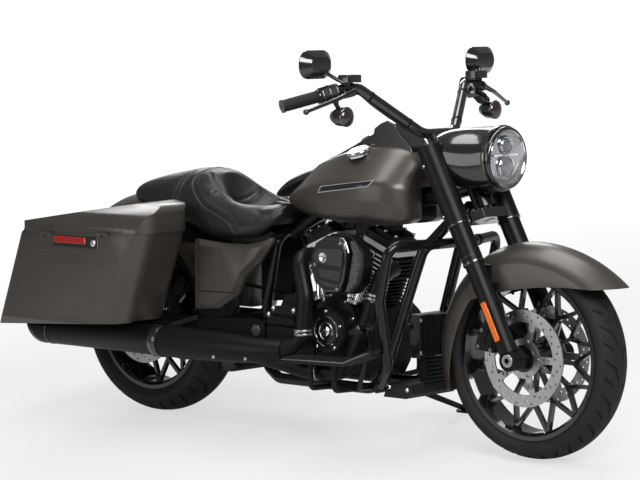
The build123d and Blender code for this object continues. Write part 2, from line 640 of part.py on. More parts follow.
# ---------------------------------------------------------------- engine
CYLINDER_BASE = 138.0            # from the crank, along each cylinder's axis
FIN_COUNT = 8
FIN_PITCH = 12.5
FIN_T = 3.5
HEAD_H = 74.0
ROCKER_H = 58.0
with BuildPart() as crankcase:
    with BuildSketch(side_on((0, CASE_HALF_W, 0))):
        with BuildLine():
            Polyline((788.0, 205.0), (1020.0, 205.0), (1046.0, 250.0), (1046.0, 400.0), (1010.0, 448.0),
                     (962.0, 470.0), (915.0, 430.0), (868.0, 470.0), (820.0, 448.0), (788.0, 400.0),
                     (788.0, 205.0))
        make_face()
    extrude(amount=2 * CASE_HALF_W)
pieces["crankcase"] = crankcase.part


def on_cylinder(sign, along, out=0.0, y=0.0):
    """Point of a cylinder's axis, the rear (-1) or the front (1) one, from the crank."""
    lean = radians(V_ANGLE / 2)
    return Vector(CRANK_X + sign * (along * sin(lean) + out * cos(lean)), y,
                  CRANK_Z + along * cos(lean) - out * sin(lean))


def cylinder_plane(sign, along):
    """Plane square to a cylinder's axis."""
    lean = radians(V_ANGLE / 2)
    return Plane(on_cylinder(sign, along), x_dir=(cos(lean), 0, -sign * sin(lean)),
                 z_dir=(sign * sin(lean), 0, cos(lean)))


def fin_outline(length, width, corner):
    """Fin plate with cut corners."""
    a, b = length / 2, width / 2
    Polygon((a - corner, -b), (a, -b + corner), (a, b - corner), (a - corner, b), (-a + corner, b),
            (-a, b - corner), (-a, -b + corner), (-a + corner, -b), align=None)


with BuildPart() as cylinders:
    for sign in (-1, 1):
        head_at = CYLINDER_BASE + FIN_COUNT * FIN_PITCH
        with BuildSketch(cylinder_plane(sign, CYLINDER_BASE)):
            Circle(62.0)
        extrude(amount=FIN_COUNT * FIN_PITCH + HEAD_H)
        for index in range(FIN_COUNT):
            with BuildSketch(cylinder_plane(sign, CYLINDER_BASE + 5.0 + index * FIN_PITCH)):
                fin_outline(150.0, 156.0, 34.0)
            extrude(amount=FIN_T)
        for index in range(5):
            with BuildSketch(cylinder_plane(sign, head_at + 3.0 + index * 14.5)):
                fin_outline(176.0, 170.0, 30.0)
            extrude(amount=FIN_T + 1.0)
        with BuildSketch(cylinder_plane(sign, head_at + 3.0)):
            fin_outline(136.0, 130.0, 26.0)
        extrude(amount=HEAD_H - 3.0)
    add(crankcase.part, mode=Mode.SUBTRACT)
pieces["cylinders"] = cylinders.part
rocker_at = CYLINDER_BASE + FIN_COUNT * FIN_PITCH + HEAD_H + SEAT_GAP
with BuildPart() as rocker_covers:
    for sign in (-1, 1):
        with BuildSketch(cylinder_plane(sign, rocker_at)):
            RectangleRounded(150.0, 138.0, 26.0)
        with BuildSketch(cylinder_plane(sign, rocker_at + ROCKER_H - 16.0)):
            RectangleRounded(140.0, 128.0, 26.0)
        loft()
        with BuildSketch(cylinder_plane(sign, rocker_at + ROCKER_H - 16.0)):
            RectangleRounded(104.0, 108.0, 24.0)
        extrude(amount=16.0)
pieces["rocker_covers"] = rocker_covers.part

COVER_OUT = 178.0
with BuildPart() as cam_cover:
    with BuildSketch(side_on((0, -CASE_HALF_W - SEAT_GAP, 0))):
        with BuildLine():
            FilletPolyline((830.0, 300.0), (900.0, 262.0), (985.0, 290.0), (1008.0, 372.0), (984.0, 448.0),
                           (915.0, 472.0), (846.0, 448.0), (822.0, 372.0), radius=36.0, close=True)
        make_face()
    extrude(amount=48.0)
    with BuildSketch(side_on((916.0, -CASE_HALF_W - 48.0, 358.0))):
        Circle(78.0)
    extrude(amount=COVER_OUT - CASE_HALF_W - 48.0)
pieces["cam_cover"] = cam_cover.part
with BuildPart() as pushrod_tubes:
    # across, foot and head of each tube: x, y, z
    for sign in (-1, 1):
        for spread in (-20.0, 20.0):
            foot = Vector(CRANK_X + sign * 62.0 + spread * 0.7, -118.0, 472.0 - abs(sign * 62.0 + spread * 0.7) * 0.35)
            head = on_cylinder(sign, rocker_at - 4.0, spread, -100.0)
            run = head - foot
            rod(foot + run.normalized() * 26.0, head, 9.0)
            rod(foot + run.normalized() * 12.0, foot + run.normalized() * 60.0, 13.0)
    add(cam_cover.part, mode=Mode.SUBTRACT)
    add(cylinders.part, mode=Mode.SUBTRACT)
    add(rocker_covers.part, mode=Mode.SUBTRACT)
pieces["pushrod_tubes"] = pushrod_tubes.part

FRONT_PULLEY_X = 664.0
FRONT_PULLEY_Z = 345.0
FRONT_PULLEY_R = 60.0
with BuildPart() as gearbox:
    with BuildSketch(side_on((0, 92.0, 0))):
        with BuildLine():
            Polyline((632.0, 224.0), (786.0, 224.0), (786.0, 400.0), (760.0, 452.0), (660.0, 452.0),
                     (632.0, 400.0), (632.0, 224.0))
        make_face()
    extrude(amount=184.0)
    with BuildSketch(side_on((710.0, -92.0, 368.0))):
        RectangleRounded(150.0, 134.0, 40.0)
    extrude(amount=-60.0)
    # shaft and belt pulley on the left
    with BuildSketch(side_on((FRONT_PULLEY_X, 91.0, FRONT_PULLEY_Z))):
        Circle(22.0)
    extrude(amount=-(PULLEY_Y - PULLEY_W / 2 - 91.0))
    with BuildSketch(side_on((FRONT_PULLEY_X, PULLEY_Y - PULLEY_W / 2, FRONT_PULLEY_Z))):
        RegularPolygon(FRONT_PULLEY_R, 24)
    extrude(amount=-PULLEY_W)
pieces["gearbox"] = gearbox.part

PRIMARY_IN = 122.0
PRIMARY_T = 58.0
with BuildPart() as primary_cover:
    with BuildSketch(side_on((0, PRIMARY_IN, 0))):
        with BuildLine():
            FilletPolyline((600.0, 400.0), (600.0, 290.0), (680.0, 226.0), (900.0, 214.0), (1020.0, 262.0),
                           (1032.0, 390.0), (960.0, 446.0), (700.0, 470.0), radius=58.0, close=True)
        make_face()
    extrude(amount=-PRIMARY_T)
    chamfer(primary_cover.faces().sort_by(Axis.Y)[-1].edges(), 9.0)
    with BuildSketch(side_on((910.0, PRIMARY_IN, 330.0))):
        Circle(100.0)
    extrude(amount=PRIMARY_IN - CASE_HALF_W - SEAT_GAP)
    with BuildSketch(side_on((PIVOT_X, 0, PIVOT_Z))):
        Circle(46.0)
    extrude(amount=-300.0, mode=Mode.SUBTRACT)
pieces["primary_cover"] = primary_cover.part

AIR_X = 1000.0
AIR_Z = 577.0
AIR_R = 103.0
with BuildPart() as air_cleaner:
    with BuildSketch(side_on((AIR_X, -158.0, AIR_Z))):
        Circle(AIR_R)
    extrude(amount=60.0)
    with BuildSketch(side_on((AIR_X, -218.0, AIR_Z))):
        Circle(AIR_R)
    with BuildSketch(side_on((AIR_X, -246.0, AIR_Z))):
        Circle(AIR_R - 22.0)
    loft()
    with BuildSketch(side_on((AIR_X, -100.0, AIR_Z))):
        Circle(42.0)
    extrude(amount=58.0)
    rod((CRANK_X, -40.0, 560.0), (AIR_X - 30.0, -120.0, AIR_Z - 5.0), 26.0)
    for cut in (cylinders, rocker_covers, pushrod_tubes):
        add(cut.part, mode=Mode.SUBTRACT)
pieces["air_cleaner"] = air_cleaner.part


# ---------------------------------------------------------------- drive belt
BELT_T = 7.0
BELT_GAP = 0.4
with BuildPart() as drive_belt:
    for extra, mode in ((BELT_T + BELT_GAP, Mode.ADD), (BELT_GAP, Mode.SUBTRACT)):
        with BuildSketch(side_on((0, PULLEY_Y - PULLEY_W / 2, 0))) as loop:
            with Locations((0, REAR_AXLE_Z)):
                Circle(PULLEY_R + extra)
            with Locations((FRONT_PULLEY_X, FRONT_PULLEY_Z)):
                Circle(FRONT_PULLEY_R + extra)
            make_hull()
        extrude(amount=-PULLEY_W, mode=mode)
pieces["drive_belt"] = drive_belt.part


# ---------------------------------------------------------------- exhaust
PIPE_R = 27.0
CROSSOVER_R = 20.0
MUFFLER_Y = 290.0
MUFFLER_FRONT_X = 300.0
MUFFLER_TIP_X = -350.0
MUFFLER_Z = 290.0
with BuildPart() as header_pipes:
    bent_tube([(802.0, -86.0, 590.0), (816.0, -196.0, 590.0), (862.0, -214.0, 470.0), (858.0, -224.0, 320.0),
               (780.0, -262.0, 291.0), (640.0, -MUFFLER_Y, MUFFLER_Z), (520.0, -MUFFLER_Y, MUFFLER_Z)],
              [50.0, 60.0, 60.0, 40.0, 60.0], PIPE_R)
    bent_tube([(1098.0, -60.0, 560.0), (1118.0, -140.0, 548.0), (1098.0, -176.0, 420.0),
               (1030.0, -200.0, 237.0), (880.0, -226.0, 234.0), (760.0, -262.0, 262.0),
               (660.0, -MUFFLER_Y + 4.0, MUFFLER_Z - 2.0)],
              [45.0, 90.0, 80.0, 80.0, 60.0], PIPE_R)
    bent_tube([(600.0, -MUFFLER_Y + 6.0, 284.0), (505.0, -210.0, 214.0), (505.0, 210.0, 214.0),
               (440.0, MUFFLER_Y, MUFFLER_Z), (360.0, MUFFLER_Y, MUFFLER_Z)], [60.0, 60.0, 40.0], CROSSOVER_R)
    for cut in (cylinders, air_cleaner, cam_cover, pushrod_tubes):
        add(cut.part, mode=Mode.SUBTRACT)
pieces["header_pipes"] = header_pipes.part


def muffler(side):
    """Long straight muffler with a cone in front and a slanted open tip."""
    with BuildPart() as can:
        with BuildSketch(Plane((0, side * MUFFLER_Y, MUFFLER_Z), x_dir=(1, 0, 0), z_dir=(0, -1, 0))):
            with BuildLine():
                Polyline((MUFFLER_TIP_X - 40.0, MUFFLER_R), (MUFFLER_FRONT_X - 30.0, MUFFLER_R),
                         (MUFFLER_FRONT_X - 26.0, MUFFLER_R + 3.0), (MUFFLER_FRONT_X, MUFFLER_R + 3.0),
                         (MUFFLER_FRONT_X + 4.0, MUFFLER_R), (MUFFLER_FRONT_X + 120.0, PIPE_R + 4.0),
                         (MUFFLER_FRONT_X + 180.0, PIPE_R + 4.0), (MUFFLER_FRONT_X + 180.0, PIPE_R + SEAT_GAP),
                         (MUFFLER_FRONT_X + 60.0, PIPE_R + SEAT_GAP), (MUFFLER_FRONT_X + 60.0, 0),
                         (MUFFLER_TIP_X + 240.0, 0), (MUFFLER_TIP_X + 240.0, MUFFLER_R - 5.0),
                         (MUFFLER_TIP_X - 40.0, MUFFLER_R - 5.0), (MUFFLER_TIP_X - 40.0, MUFFLER_R))
            make_face()
        revolve(axis=Axis((0, side * MUFFLER_Y, MUFFLER_Z), (1, 0, 0)))
        with BuildSketch(side_on((0, side * MUFFLER_Y, 0))):
            Polygon((MUFFLER_TIP_X - 60.0, MUFFLER_Z - 90.0), (MUFFLER_TIP_X + 88.0, MUFFLER_Z - 90.0),
                    (MUFFLER_TIP_X - 24.0, MUFFLER_Z + 90.0), (MUFFLER_TIP_X - 60.0, MUFFLER_Z + 90.0), align=None)
        extrude(amount=90.0, both=True, mode=Mode.SUBTRACT)
        add(header_pipes.part, mode=Mode.SUBTRACT)
    return can.part


with BuildPart() as mufflers:
    add(muffler(-1))
    add(muffler(1))
pieces["mufflers"] = mufflers.part


# ---------------------------------------------------------------- fuel tank and console
def body_section(x, low, high, half_w, foot, shoulder, corner):
    """Rounded closed section of a tank or seat, as an eight-sided outline with round corners."""
    middle = low + 0.42 * (high - low)
    with BuildSketch(across((x, 0, 0))) as section:
        Polygon((foot * half_w, low), (half_w, middle - 0.12 * (high - low)),
                (half_w, middle + 0.12 * (high - low)), (shoulder * half_w, high),
                (-shoulder * half_w, high), (-half_w, middle + 0.12 * (high - low)),
                (-half_w, middle - 0.12 * (high - low)), (-foot * half_w, low), align=None)
        fillet(section.vertices(), corner)
    return section.sketch


# x, underside, top, half width, corner radius, from the seat to the neck
tank_sections = ((684.0, 742.0, 806.0, 96.0, 14.0), (770.0, 722.0, 872.0, 132.0, 30.0),
                 (910.0, 704.0, 928.0, 158.0, 44.0), (1060.0, 700.0, 950.0, 165.0, 48.0),
                 (1150.0, 704.0, 938.0, 144.0, 44.0), (1196.0, 724.0, 898.0, 96.0, 30.0))
TUNNEL_HALF_W = 36.0
TUNNEL_TOP_Z = 808.0
with BuildPart() as fuel_tank:
    loft([body_section(x, low, high, half_w, 0.86, 0.42, corner)
          for x, low, high, half_w, corner in tank_sections])
    with BuildSketch(side_on((0, 0, 0))):
        Polygon((600.0, 600.0), (1300.0, 600.0), (1300.0, TUNNEL_TOP_Z + 30.0), (1100.0, TUNNEL_TOP_Z),
                (760.0, TUNNEL_TOP_Z - 20.0), (600.0, TUNNEL_TOP_Z - 100.0), align=None)
    extrude(amount=TUNNEL_HALF_W, both=True, mode=Mode.SUBTRACT)
pieces["fuel_tank"] = fuel_tank.part
CONSOLE_HALF_W = 46.0
with BuildPart() as console:
    with BuildSketch(side_on((0, 0, 0))):
        with BuildLine():
            Polyline((700.0, 780.0), (700.0, 838.0), (800.0, 902.0), (930.0, 954.0), (955.0, 1000.0))
            ThreePointArc((955.0, 1000.0), (1040.0, 1030.0), (1120.0, 985.0))
            Polyline((1120.0, 985.0), (1166.0, 950.0), (1170.0, 900.0), (700.0, 780.0))
        make_face()
    extrude(amount=CONSOLE_HALF_W, both=True)
    add(fuel_tank.part, mode=Mode.SUBTRACT)
    with BuildSketch(side_on((0, 0, 0))):
        Rectangle(4000.0, 2 * (TUNNEL_TOP_Z + 40.0))
    extrude(amount=TUNNEL_HALF_W + 4.0, both=True, mode=Mode.SUBTRACT)
pieces["console"] = console.part
CAP_AT = Vector(978.0, -86.0, 930.0)
with BuildPart() as fuel_caps:
    for side in (-1, 1):
        spot = Vector(CAP_AT.X, side * abs(CAP_AT.Y), CAP_AT.Z)
        tilt = Plane(spot, x_dir=(1, 0, 0), z_dir=(-0.10, side * 0.36, 0.93))
        with BuildSketch(tilt.offset(-10.0)):
            Circle(40.0)
        extrude(amount=22.0)
        chamfer(fuel_caps.edges().filter_by(GeomType.CIRCLE).sort_by(Axis.Z)[-1], 4.0)
    add(fuel_tank.part, mode=Mode.SUBTRACT)
    add(console.part, mode=Mode.SUBTRACT)
pieces["fuel_caps"] = fuel_caps.part


REAR_FENDER_R = 438.0
REAR_FENDER_HALF_W = 118.0 - SEAT_GAP


# ---------------------------------------------------------------- seat
# x, underside, top, half width, corner radius, from the back to the tank
seat_sections = ((-70.0, 700.0, 772.0, 76.0, 12.0), (20.0, 690.0, 816.0, 104.0, 20.0),
                 (130.0, 690.0, 838.0, 130.0, 24.0), (240.0, 664.0, 856.0, 152.0, 30.0),
                 (320.0, 640.0, 846.0, 168.0, 32.0), (400.0, 632.0, 792.0, 182.0, 26.0),
                 (480.0, 632.0, 748.0, 190.0, 20.0), (580.0, 638.0, 742.0, 176.0, 18.0),
                 (676.0, 684.0, 760.0, 104.0, 12.0))
SEAT_PAN_HALF_W = 131.0
SEAT_PAN_Z = 676.0
with BuildPart() as seat:
    loft([body_section(x, low, high, half_w, 0.90, 0.62, corner)
          for x, low, high, half_w, corner in seat_sections], ruled=True)
    with BuildSketch(side_on(rear_axle_at)):
        Circle(REAR_FENDER_R + SEAT_GAP)
    extrude(amount=300.0, both=True, mode=Mode.SUBTRACT)
    # open below over the frame's rails and its backbone
    with BuildSketch(side_on((0, 0, 0))):
        Polygon((100.0, 500.0), (760.0, 500.0), (760.0, SEAT_PAN_Z), (100.0, SEAT_PAN_Z), align=None)
    extrude(amount=SEAT_PAN_HALF_W, both=True, mode=Mode.SUBTRACT)
    with BuildSketch(side_on((0, 0, 0))):
        Polygon((570.0, 600.0), (800.0, 600.0), (800.0, 800.0), (690.0, 728.0), (570.0, SEAT_PAN_Z), align=None)
    extrude(amount=BACKBONE_R + 3.0, both=True, mode=Mode.SUBTRACT)
    add(fuel_tank.part, mode=Mode.SUBTRACT)
    add(console.part, mode=Mode.SUBTRACT)
pieces["seat"] = seat.part


# ---------------------------------------------------------------- rear fender
with BuildPart() as rear_fender:
    for turn in (58.0, -98.0):
        with BuildSketch(across(rear_axle_at)):
            with BuildLine():
                side_top, low = REAR_FENDER_R - 70.0, REAR_FENDER_R - 132.0
                crown = ThreePointArc((-REAR_FENDER_HALF_W, side_top), (0, REAR_FENDER_R),
                                      (REAR_FENDER_HALF_W, side_top))
                inner = ThreePointArc((-REAR_FENDER_HALF_W + FENDER_T, side_top), (0, REAR_FENDER_R - FENDER_T),
                                      (REAR_FENDER_HALF_W - FENDER_T, side_top))
                Polyline(crown @ 1, (REAR_FENDER_HALF_W, low), (REAR_FENDER_HALF_W - FENDER_T, low), inner @ 1)
                Polyline(crown @ 0, (-REAR_FENDER_HALF_W, low), (-REAR_FENDER_HALF_W + FENDER_T, low), inner @ 0)
            make_face()
        revolve(axis=rear_spin, revolution_arc=turn)
pieces["rear_fender"] = rear_fender.part


# ---------------------------------------------------------------- saddlebags
BAG_IN = 172.0
BAG_OUT = 404.0
BAG_CREASE_OUT = 411.0
BAG_CREASE_Z = 563.0
RIM_Z = 639.3                    # rim height above the rear axle, along the hinge line
RIM_SLOPE = 0.0344
BAG_SHEAR = 0.37                 # both ends slant back going down
BAG_REAR_X = -336.0
BAG_FRONT_X = 318.0
BAG_LOW_Z = 302.0
CHANNEL_Z = 352.0
LID_GAP = 0.8
rim_plane_tilt = degrees(atan2(RIM_SLOPE, 1))


def bag_plan(level, inset):
    """Plan outline of the right bag at a height."""
    with BuildSketch(Plane((0, 0, level))) as plan:
        with BuildLine():
            FilletPolyline((BAG_REAR_X, -BAG_IN), (BAG_FRONT_X, -BAG_IN), (BAG_FRONT_X, -BAG_CREASE_OUT),
                           (BAG_REAR_X + 84.0, -BAG_CREASE_OUT), (BAG_REAR_X, -330.0),
                           radius=[30.0, 60.0, 80.0, 60.0, 30.0], close=True)
        make_face()
        if inset > 0:
            offset(amount=-inset)
    return plan.sketch


def bag_block(inset):
    """Outer form of the right bag, drawn in by its wall for the cavity."""
    with BuildPart() as block:
        extrude(bag_plan(RIM_Z + 30.0, inset), amount=500.0, dir=(-BAG_SHEAR, 0, -1))
        with BuildSketch(Plane((700.0, 0, 0), x_dir=(0, -1, 0), z_dir=(-1, 0, 0))) as end:
            with BuildLine():
                Polyline((BAG_IN, 700.0), (BAG_OUT, 700.0), (BAG_OUT, RIM_Z), (BAG_CREASE_OUT, BAG_CREASE_Z),
                         (394.0, 334.0), (368.0, BAG_LOW_Z), (358.0, BAG_LOW_Z), (346.0, CHANNEL_Z),
                         (232.0, CHANNEL_Z), (BAG_IN, CHANNEL_Z + 14.0), (BAG_IN, 700.0))
            make_face()
            if inset > 0:
                offset(amount=-inset, kind=Kind.INTERSECTION)
        extrude(amount=1400.0, mode=Mode.INTERSECT)
        with BuildSketch(side_on((0, 0, 0))):
            Polygon((-700.0, BAG_LOW_Z - 17.0 + inset), (600.0, BAG_LOW_Z + 73.0 + inset),
                    (600.0, RIM_Z + 600.0 * RIM_SLOPE + (20.0 if inset > 0 else 0.0)),
                    (-700.0, RIM_Z - 700.0 * RIM_SLOPE + (20.0 if inset > 0 else 0.0)), align=None)
        extrude(amount=600.0, mode=Mode.INTERSECT)
    return block.part


def lid_block(inset):
    """Outer form of the right bag's lid, drawn in by its wall for the hollow."""
    with BuildPart() as block:
        extrude(bag_plan(RIM_Z - 30.0, inset), amount=200.0)
        with BuildSketch(Plane((700.0, 0, 0), x_dir=(0, -1, 0), z_dir=(-1, 0, 0))) as end:
            with BuildLine():
                FilletPolyline((BAG_IN, 600.0), (BAG_IN, 754.0), (300.0, 740.0), (376.0, 706.0), (BAG_OUT, 660.0),
                               (BAG_OUT, 600.0), radius=[0.0, 24.0, 60.0, 40.0, 24.0, 0.0], close=True)
            make_face()
            if inset > 0:
                offset(amount=-inset)
        extrude(amount=1400.0, mode=Mode.INTERSECT)
        low = LID_GAP - (20.0 if inset > 0 else 0.0)
        with BuildSketch(side_on((0, 0, 0))) as side_view:
            with BuildLine():
                FilletPolyline((-360.0, RIM_Z - 360.0 * RIM_SLOPE + low), (-342.0, 648.0), (-280.0, 668.0),
                               (140.0, 734.0), (250.0, 752.0), (306.0, 738.0),
                               (340.0, RIM_Z + 340.0 * RIM_SLOPE + low),
                               radius=[0.0, 12.0, 90.0, 200.0, 60.0, 40.0, 0.0], close=True)
            make_face()
            if inset > 0:
                offset(amount=-inset)
        extrude(amount=600.0, mode=Mode.INTERSECT)
    return block.part


bag_cavity = bag_block(BAG_WALL)
lid_hollow = lid_block(BAG_WALL)
HINGE_Y = BAG_OUT + 5.0
HINGE_R = 4.5
HINGE_PIN_R = 2.5
hinge_run = Vector(1, 0, RIM_SLOPE).normalized()
hinge_at = Vector(0, -HINGE_Y, RIM_Z + LID_GAP / 2)
with BuildPart() as saddlebag:
    add(bag_block(0.0))
    add(bag_cavity, mode=Mode.SUBTRACT)
    for x in (-150.0, 130.0):
        for end in (-20.0, 20.0):
            spot = hinge_at + hinge_run * (x + end)
            with BuildSketch(Plane(spot - hinge_run * 8.0, z_dir=hinge_run)):
                Circle(HINGE_R)
            extrude(amount=16.0)
            with BuildSketch(Plane(spot - hinge_run * 8.0, x_dir=(0, 1, 0), z_dir=hinge_run)):
                with Locations((3.4, -7.0)):
                    Rectangle(6.0, 13.0)
            extrude(amount=16.0)
    with BuildSketch(Plane(hinge_at - hinge_run * 300.0, z_dir=hinge_run)):
        Circle(HINGE_PIN_R + RUNNING_FIT)
    extrude(amount=600.0, mode=Mode.SUBTRACT)
pieces["saddlebag_right"] = saddlebag.part
pieces["saddlebag_left"] = saddlebag.part.mirror(Plane.XZ)
with BuildPart() as lid:
    add(lid_block(0.0))
    add(lid_hollow, mode=Mode.SUBTRACT)
    for x in (-150.0, 130.0):
        spot = hinge_at + hinge_run * x
        with BuildSketch(Plane(spot - hinge_run * 11.5, z_dir=hinge_run)):
            Circle(HINGE_R)
        extrude(amount=23.0)
        with BuildSketch(Plane(spot - hinge_run * 28.0, z_dir=hinge_run)):
            Circle(HINGE_PIN_R)
        extrude(amount=56.0)
        with BuildSketch(Plane(spot - hinge_run * 11.5, x_dir=(0, 1, 0), z_dir=hinge_run)):
            with Locations((4.4, 7.0)):
                Rectangle(6.0, 13.0)
        extrude(amount=23.0)
pieces["lid_right"] = lid.part
pieces["lid_left"] = lid.part.mirror(Plane.XZ)


# ---------------------------------------------------------------- side covers and rails
side_cover_outline = ((322.0, 624.0), (460.0, 615.0), (566.0, 617.0), (648.0, 634.0), (704.0, 664.0),
                      (618.0, 560.0), (552.0, 512.0), (518.0, 448.0), (436.0, 398.0), (322.0, 388.0))


def side_cover(side):
    """Bowed cover under the seat."""
    with BuildPart() as cover:
        with BuildSketch(side_on((0, side * 155.0, 0))) as foot:
            Polygon(*side_cover_outline, align=None)
            fillet(foot.vertices(), 9.0)
        extrude(amount=-side * 13.0)
        with BuildSketch(side_on((0, side * 168.0, 0))) as base:
            Polygon(*side_cover_outline, align=None)
            fillet(base.vertices(), 9.0)
            with Locations((290.0, 500.0)):
                Rectangle(110.0, 600.0, mode=Mode.SUBTRACT)
        with BuildSketch(side_on((0, side * 186.0, 0))) as face:
            add(base.sketch_local)
            offset(amount=-16.0)
        loft([base.sketch, face.sketch])
    return cover.part


with BuildPart() as side_covers:
    add(side_cover(-1))
    add(side_cover(1))
pieces["side_covers"] = side_covers.part
with BuildPart() as bag_rails:
    for side in (1, -1):
        bent_tube([(330.0, side * 162.0, 362.0), (262.0, side * 200.0, 338.0), (150.0, side * 222.0, 334.0),
                   (-60.0, side * 222.0, 330.0), (-120.0, side * 200.0, 346.0)],
                  [30.0, 60.0, 90.0], 8.0)
pieces["bag_rails"] = bag_rails.part


# ---------------------------------------------------------------- engine guard
GUARD_Y = 270.0
guard_side = ((1302.0, 96.0, 651.0), (1258.0, GUARD_Y, 656.0), (1218.0, GUARD_Y - 4.0, 480.0),
              (1206.0, 212.0, 270.0), (1110.0, 130.5, 196.0))
with BuildPart() as engine_guard:
    bent_tube([(x, -y, z) for x, y, z in reversed(guard_side)] + list(guard_side),
              [60.0, 90.0, 46.0, 80.0, 80.0, 46.0, 90.0, 60.0], GUARD_R)
    add(frame.part, mode=Mode.SUBTRACT)
pieces["engine_guard"] = engine_guard.part


# ---------------------------------------------------------------- oil cooler, regulator, chin cover
COOLER_HALF_W = 88.0
COOLER_LOW_Z = 292.0
COOLER_TOP_Z = 421.0
COOLER_BACK_X = 1200.0
COOLER_T = 26.0
FIN_COLUMNS = 15
with BuildPart() as oil_cooler:
    with BuildSketch(Plane((0, 0, COOLER_LOW_Z))):
        with Locations((COOLER_BACK_X + COOLER_T / 2, 0)):
            Rectangle(COOLER_T, 2 * COOLER_HALF_W)
        for index in range(FIN_COLUMNS):
            with Locations((COOLER_BACK_X + COOLER_T + 4.0,
                            (index - (FIN_COLUMNS - 1) / 2) * (2 * COOLER_HALF_W - 6.0) / (FIN_COLUMNS - 1))):
                Rectangle(12.0, 4.0)
    extrude(amount=COOLER_TOP_Z - COOLER_LOW_Z)
    # regulator hung below it on a bracket
    with BuildSketch(side_on((0, 0, 0))):
        with Locations((COOLER_BACK_X + 4.0, 264.0)):
            Rectangle(8.0, 80.0)
        with Locations((COOLER_BACK_X + 16.0, 246.0)):
            Rectangle(24.0, 76.0)
    extrude(amount=58.0, both=True)
    for index in range(6):
        with BuildSketch(Plane((COOLER_BACK_X + 32.0, 0, 212.0 + index * 13.0))):
            Rectangle(16.0, 112.0)
        extrude(amount=4.0)
    # tab across the frame's down tubes
    with BuildSketch(Plane((COOLER_BACK_X - 8.0, 0, 378.0))):
        Rectangle(20.0, 214.0)
    extrude(amount=16.0)
    add(frame.part, mode=Mode.SUBTRACT)
pieces["oil_cooler"] = oil_cooler.part
with BuildPart() as chin_cover:
    with BuildSketch(side_on((0, 0, 0))):
        Polygon((1104.0, 158.0), (1196.0, 158.0), (1222.0, 174.0), (1214.0, 204.0), (1124.0, 204.0),
                align=None)
    extrude(amount=118.0, both=True)
    add(frame.part, mode=Mode.SUBTRACT)
    add(engine_guard.part, mode=Mode.SUBTRACT)
pieces["chin_cover"] = chin_cover.part


# ---------------------------------------------------------------- footboards and pedals
BOARD_IN = 236.0
BOARD_OUT = 334.0
with BuildPart() as footboards:
    for side in (1, -1):
        with BuildSketch(Plane((0, 0, 200.0))) as plan:
            Polygon((860.0, side * BOARD_IN), (872.0, side * BOARD_OUT), (1130.0, side * BOARD_OUT),
                    (1206.0, side * (BOARD_OUT - 30.0)), (1206.0, side * BOARD_IN), align=None)
            fillet(plan.vertices(), 22.0)
        extrude(amount=200.0)
    with BuildSketch(side_on((0, 0, 0))):
        Polygon((840.0, 268.0), (1120.0, 276.0), (1220.0, 316.0), (1214.0, 332.0), (1116.0, 292.0),
                (840.0, 284.0), align=None)
    extrude(amount=400.0, both=True, mode=Mode.INTERSECT)
    for side in (1, -1):
        for x in (930.0, 1030.0):
            bent_tube([(x, side * (CRADLE_Y + 12.0), RAIL_Z + 2.0), (x, side * 268.0, RAIL_Z + 8.0), (x, side * 268.0, 272.0)],
                      [18.0], 9.0)
    add(frame.part, mode=Mode.SUBTRACT)
pieces["footboards"] = footboards.part
with BuildPart() as brake_pedal:
    bent_tube([(1064.0, -CRADLE_Y - 12.0, RAIL_Z + 6.0), (1072.0, -200.0, 190.0), (1134.0, -220.0, 318.0),
               (1160.0, -270.0, 384.0)], [20.0, 30.0], 8.0)
    with BuildSketch(Plane((1162.0, -286.0, 386.0), x_dir=(0, 1, 0), z_dir=(-0.5, 0, 0.86))):
        RectangleRounded(78.0, 48.0, 10.0)
    extrude(amount=12.0)
    add(frame.part, mode=Mode.SUBTRACT)
pieces["brake_pedal"] = brake_pedal.part
LEVER_Y = 248.0
with BuildPart() as shift_lever:
    bent_tube([(866.0, LEVER_Y, 356.0), (944.0, LEVER_Y, 308.0), (1040.0, LEVER_Y, 306.0), (1136.0, LEVER_Y, 356.0)],
              [60.0, 60.0], 7.0)
    rod((1000.0, PRIMARY_IN + PRIMARY_T + SEAT_GAP, 307.0), (1000.0, LEVER_Y, 307.0), 9.0)
    for x in (866.0, 1136.0):
        rod((x, LEVER_Y - 9.0, 356.0), (x, LEVER_Y + 52.0, 356.0), 11.0)
pieces["shift_lever"] = shift_lever.part


# ---------------------------------------------------------------- tail
with BuildPart() as tail_lamp:
    with BuildSketch(side_on((0, 0, 0))):
        with BuildLine():
            Polyline((-300.0, 600.0), (-300.0, 664.0), (-350.0, 668.0))
            ThreePointArc((-350.0, 668.0), (-392.0, 640.0), (-398.0, 596.0))
            Polyline((-398.0, 596.0), (-396.0, 580.0), (-300.0, 600.0))
        make_face()
    extrude(amount=62.0, both=True)
    with BuildSketch(side_on(rear_axle_at)):
        Circle(REAR_FENDER_R + SEAT_GAP)
    extrude(amount=100.0, both=True, mode=Mode.SUBTRACT)
pieces["tail_lamp"] = tail_lamp.part
with BuildPart() as rear_signals:
    rod((-424.0, -128.0, 540.0), (-424.0, 128.0, 540.0), 9.0)
    for side in (1, -1):
        centre = Vector(-424.0, side * 128.0, 540.0)
        with BuildSketch(Plane(centre, x_dir=(1, 0, 0), z_dir=(0, -1, 0))):
            with BuildLine():
                Polyline((30.0, 0), (24.0, 17.0), (4.0, 28.0), (-24.0, 29.0))
                ThreePointArc((-24.0, 29.0), (-32.0, 15.0), (-34.0, 4.0))
                Polyline((-34.0, 4.0), (-34.0, 0), (30.0, 0))
            make_face()
        revolve(axis=Axis(centre, (1, 0, 0)))
    with BuildSketch(side_on((-404.0, 0, 540.0))):
        Rectangle(30.0, 20.0)
    extrude(amount=30.0, both=True)
    with BuildSketch(side_on(rear_axle_at)):
        Circle(REAR_FENDER_R + SEAT_GAP)
    extrude(amount=60.0, both=True, mode=Mode.SUBTRACT)
pieces["rear_signals"] = rear_signals.part
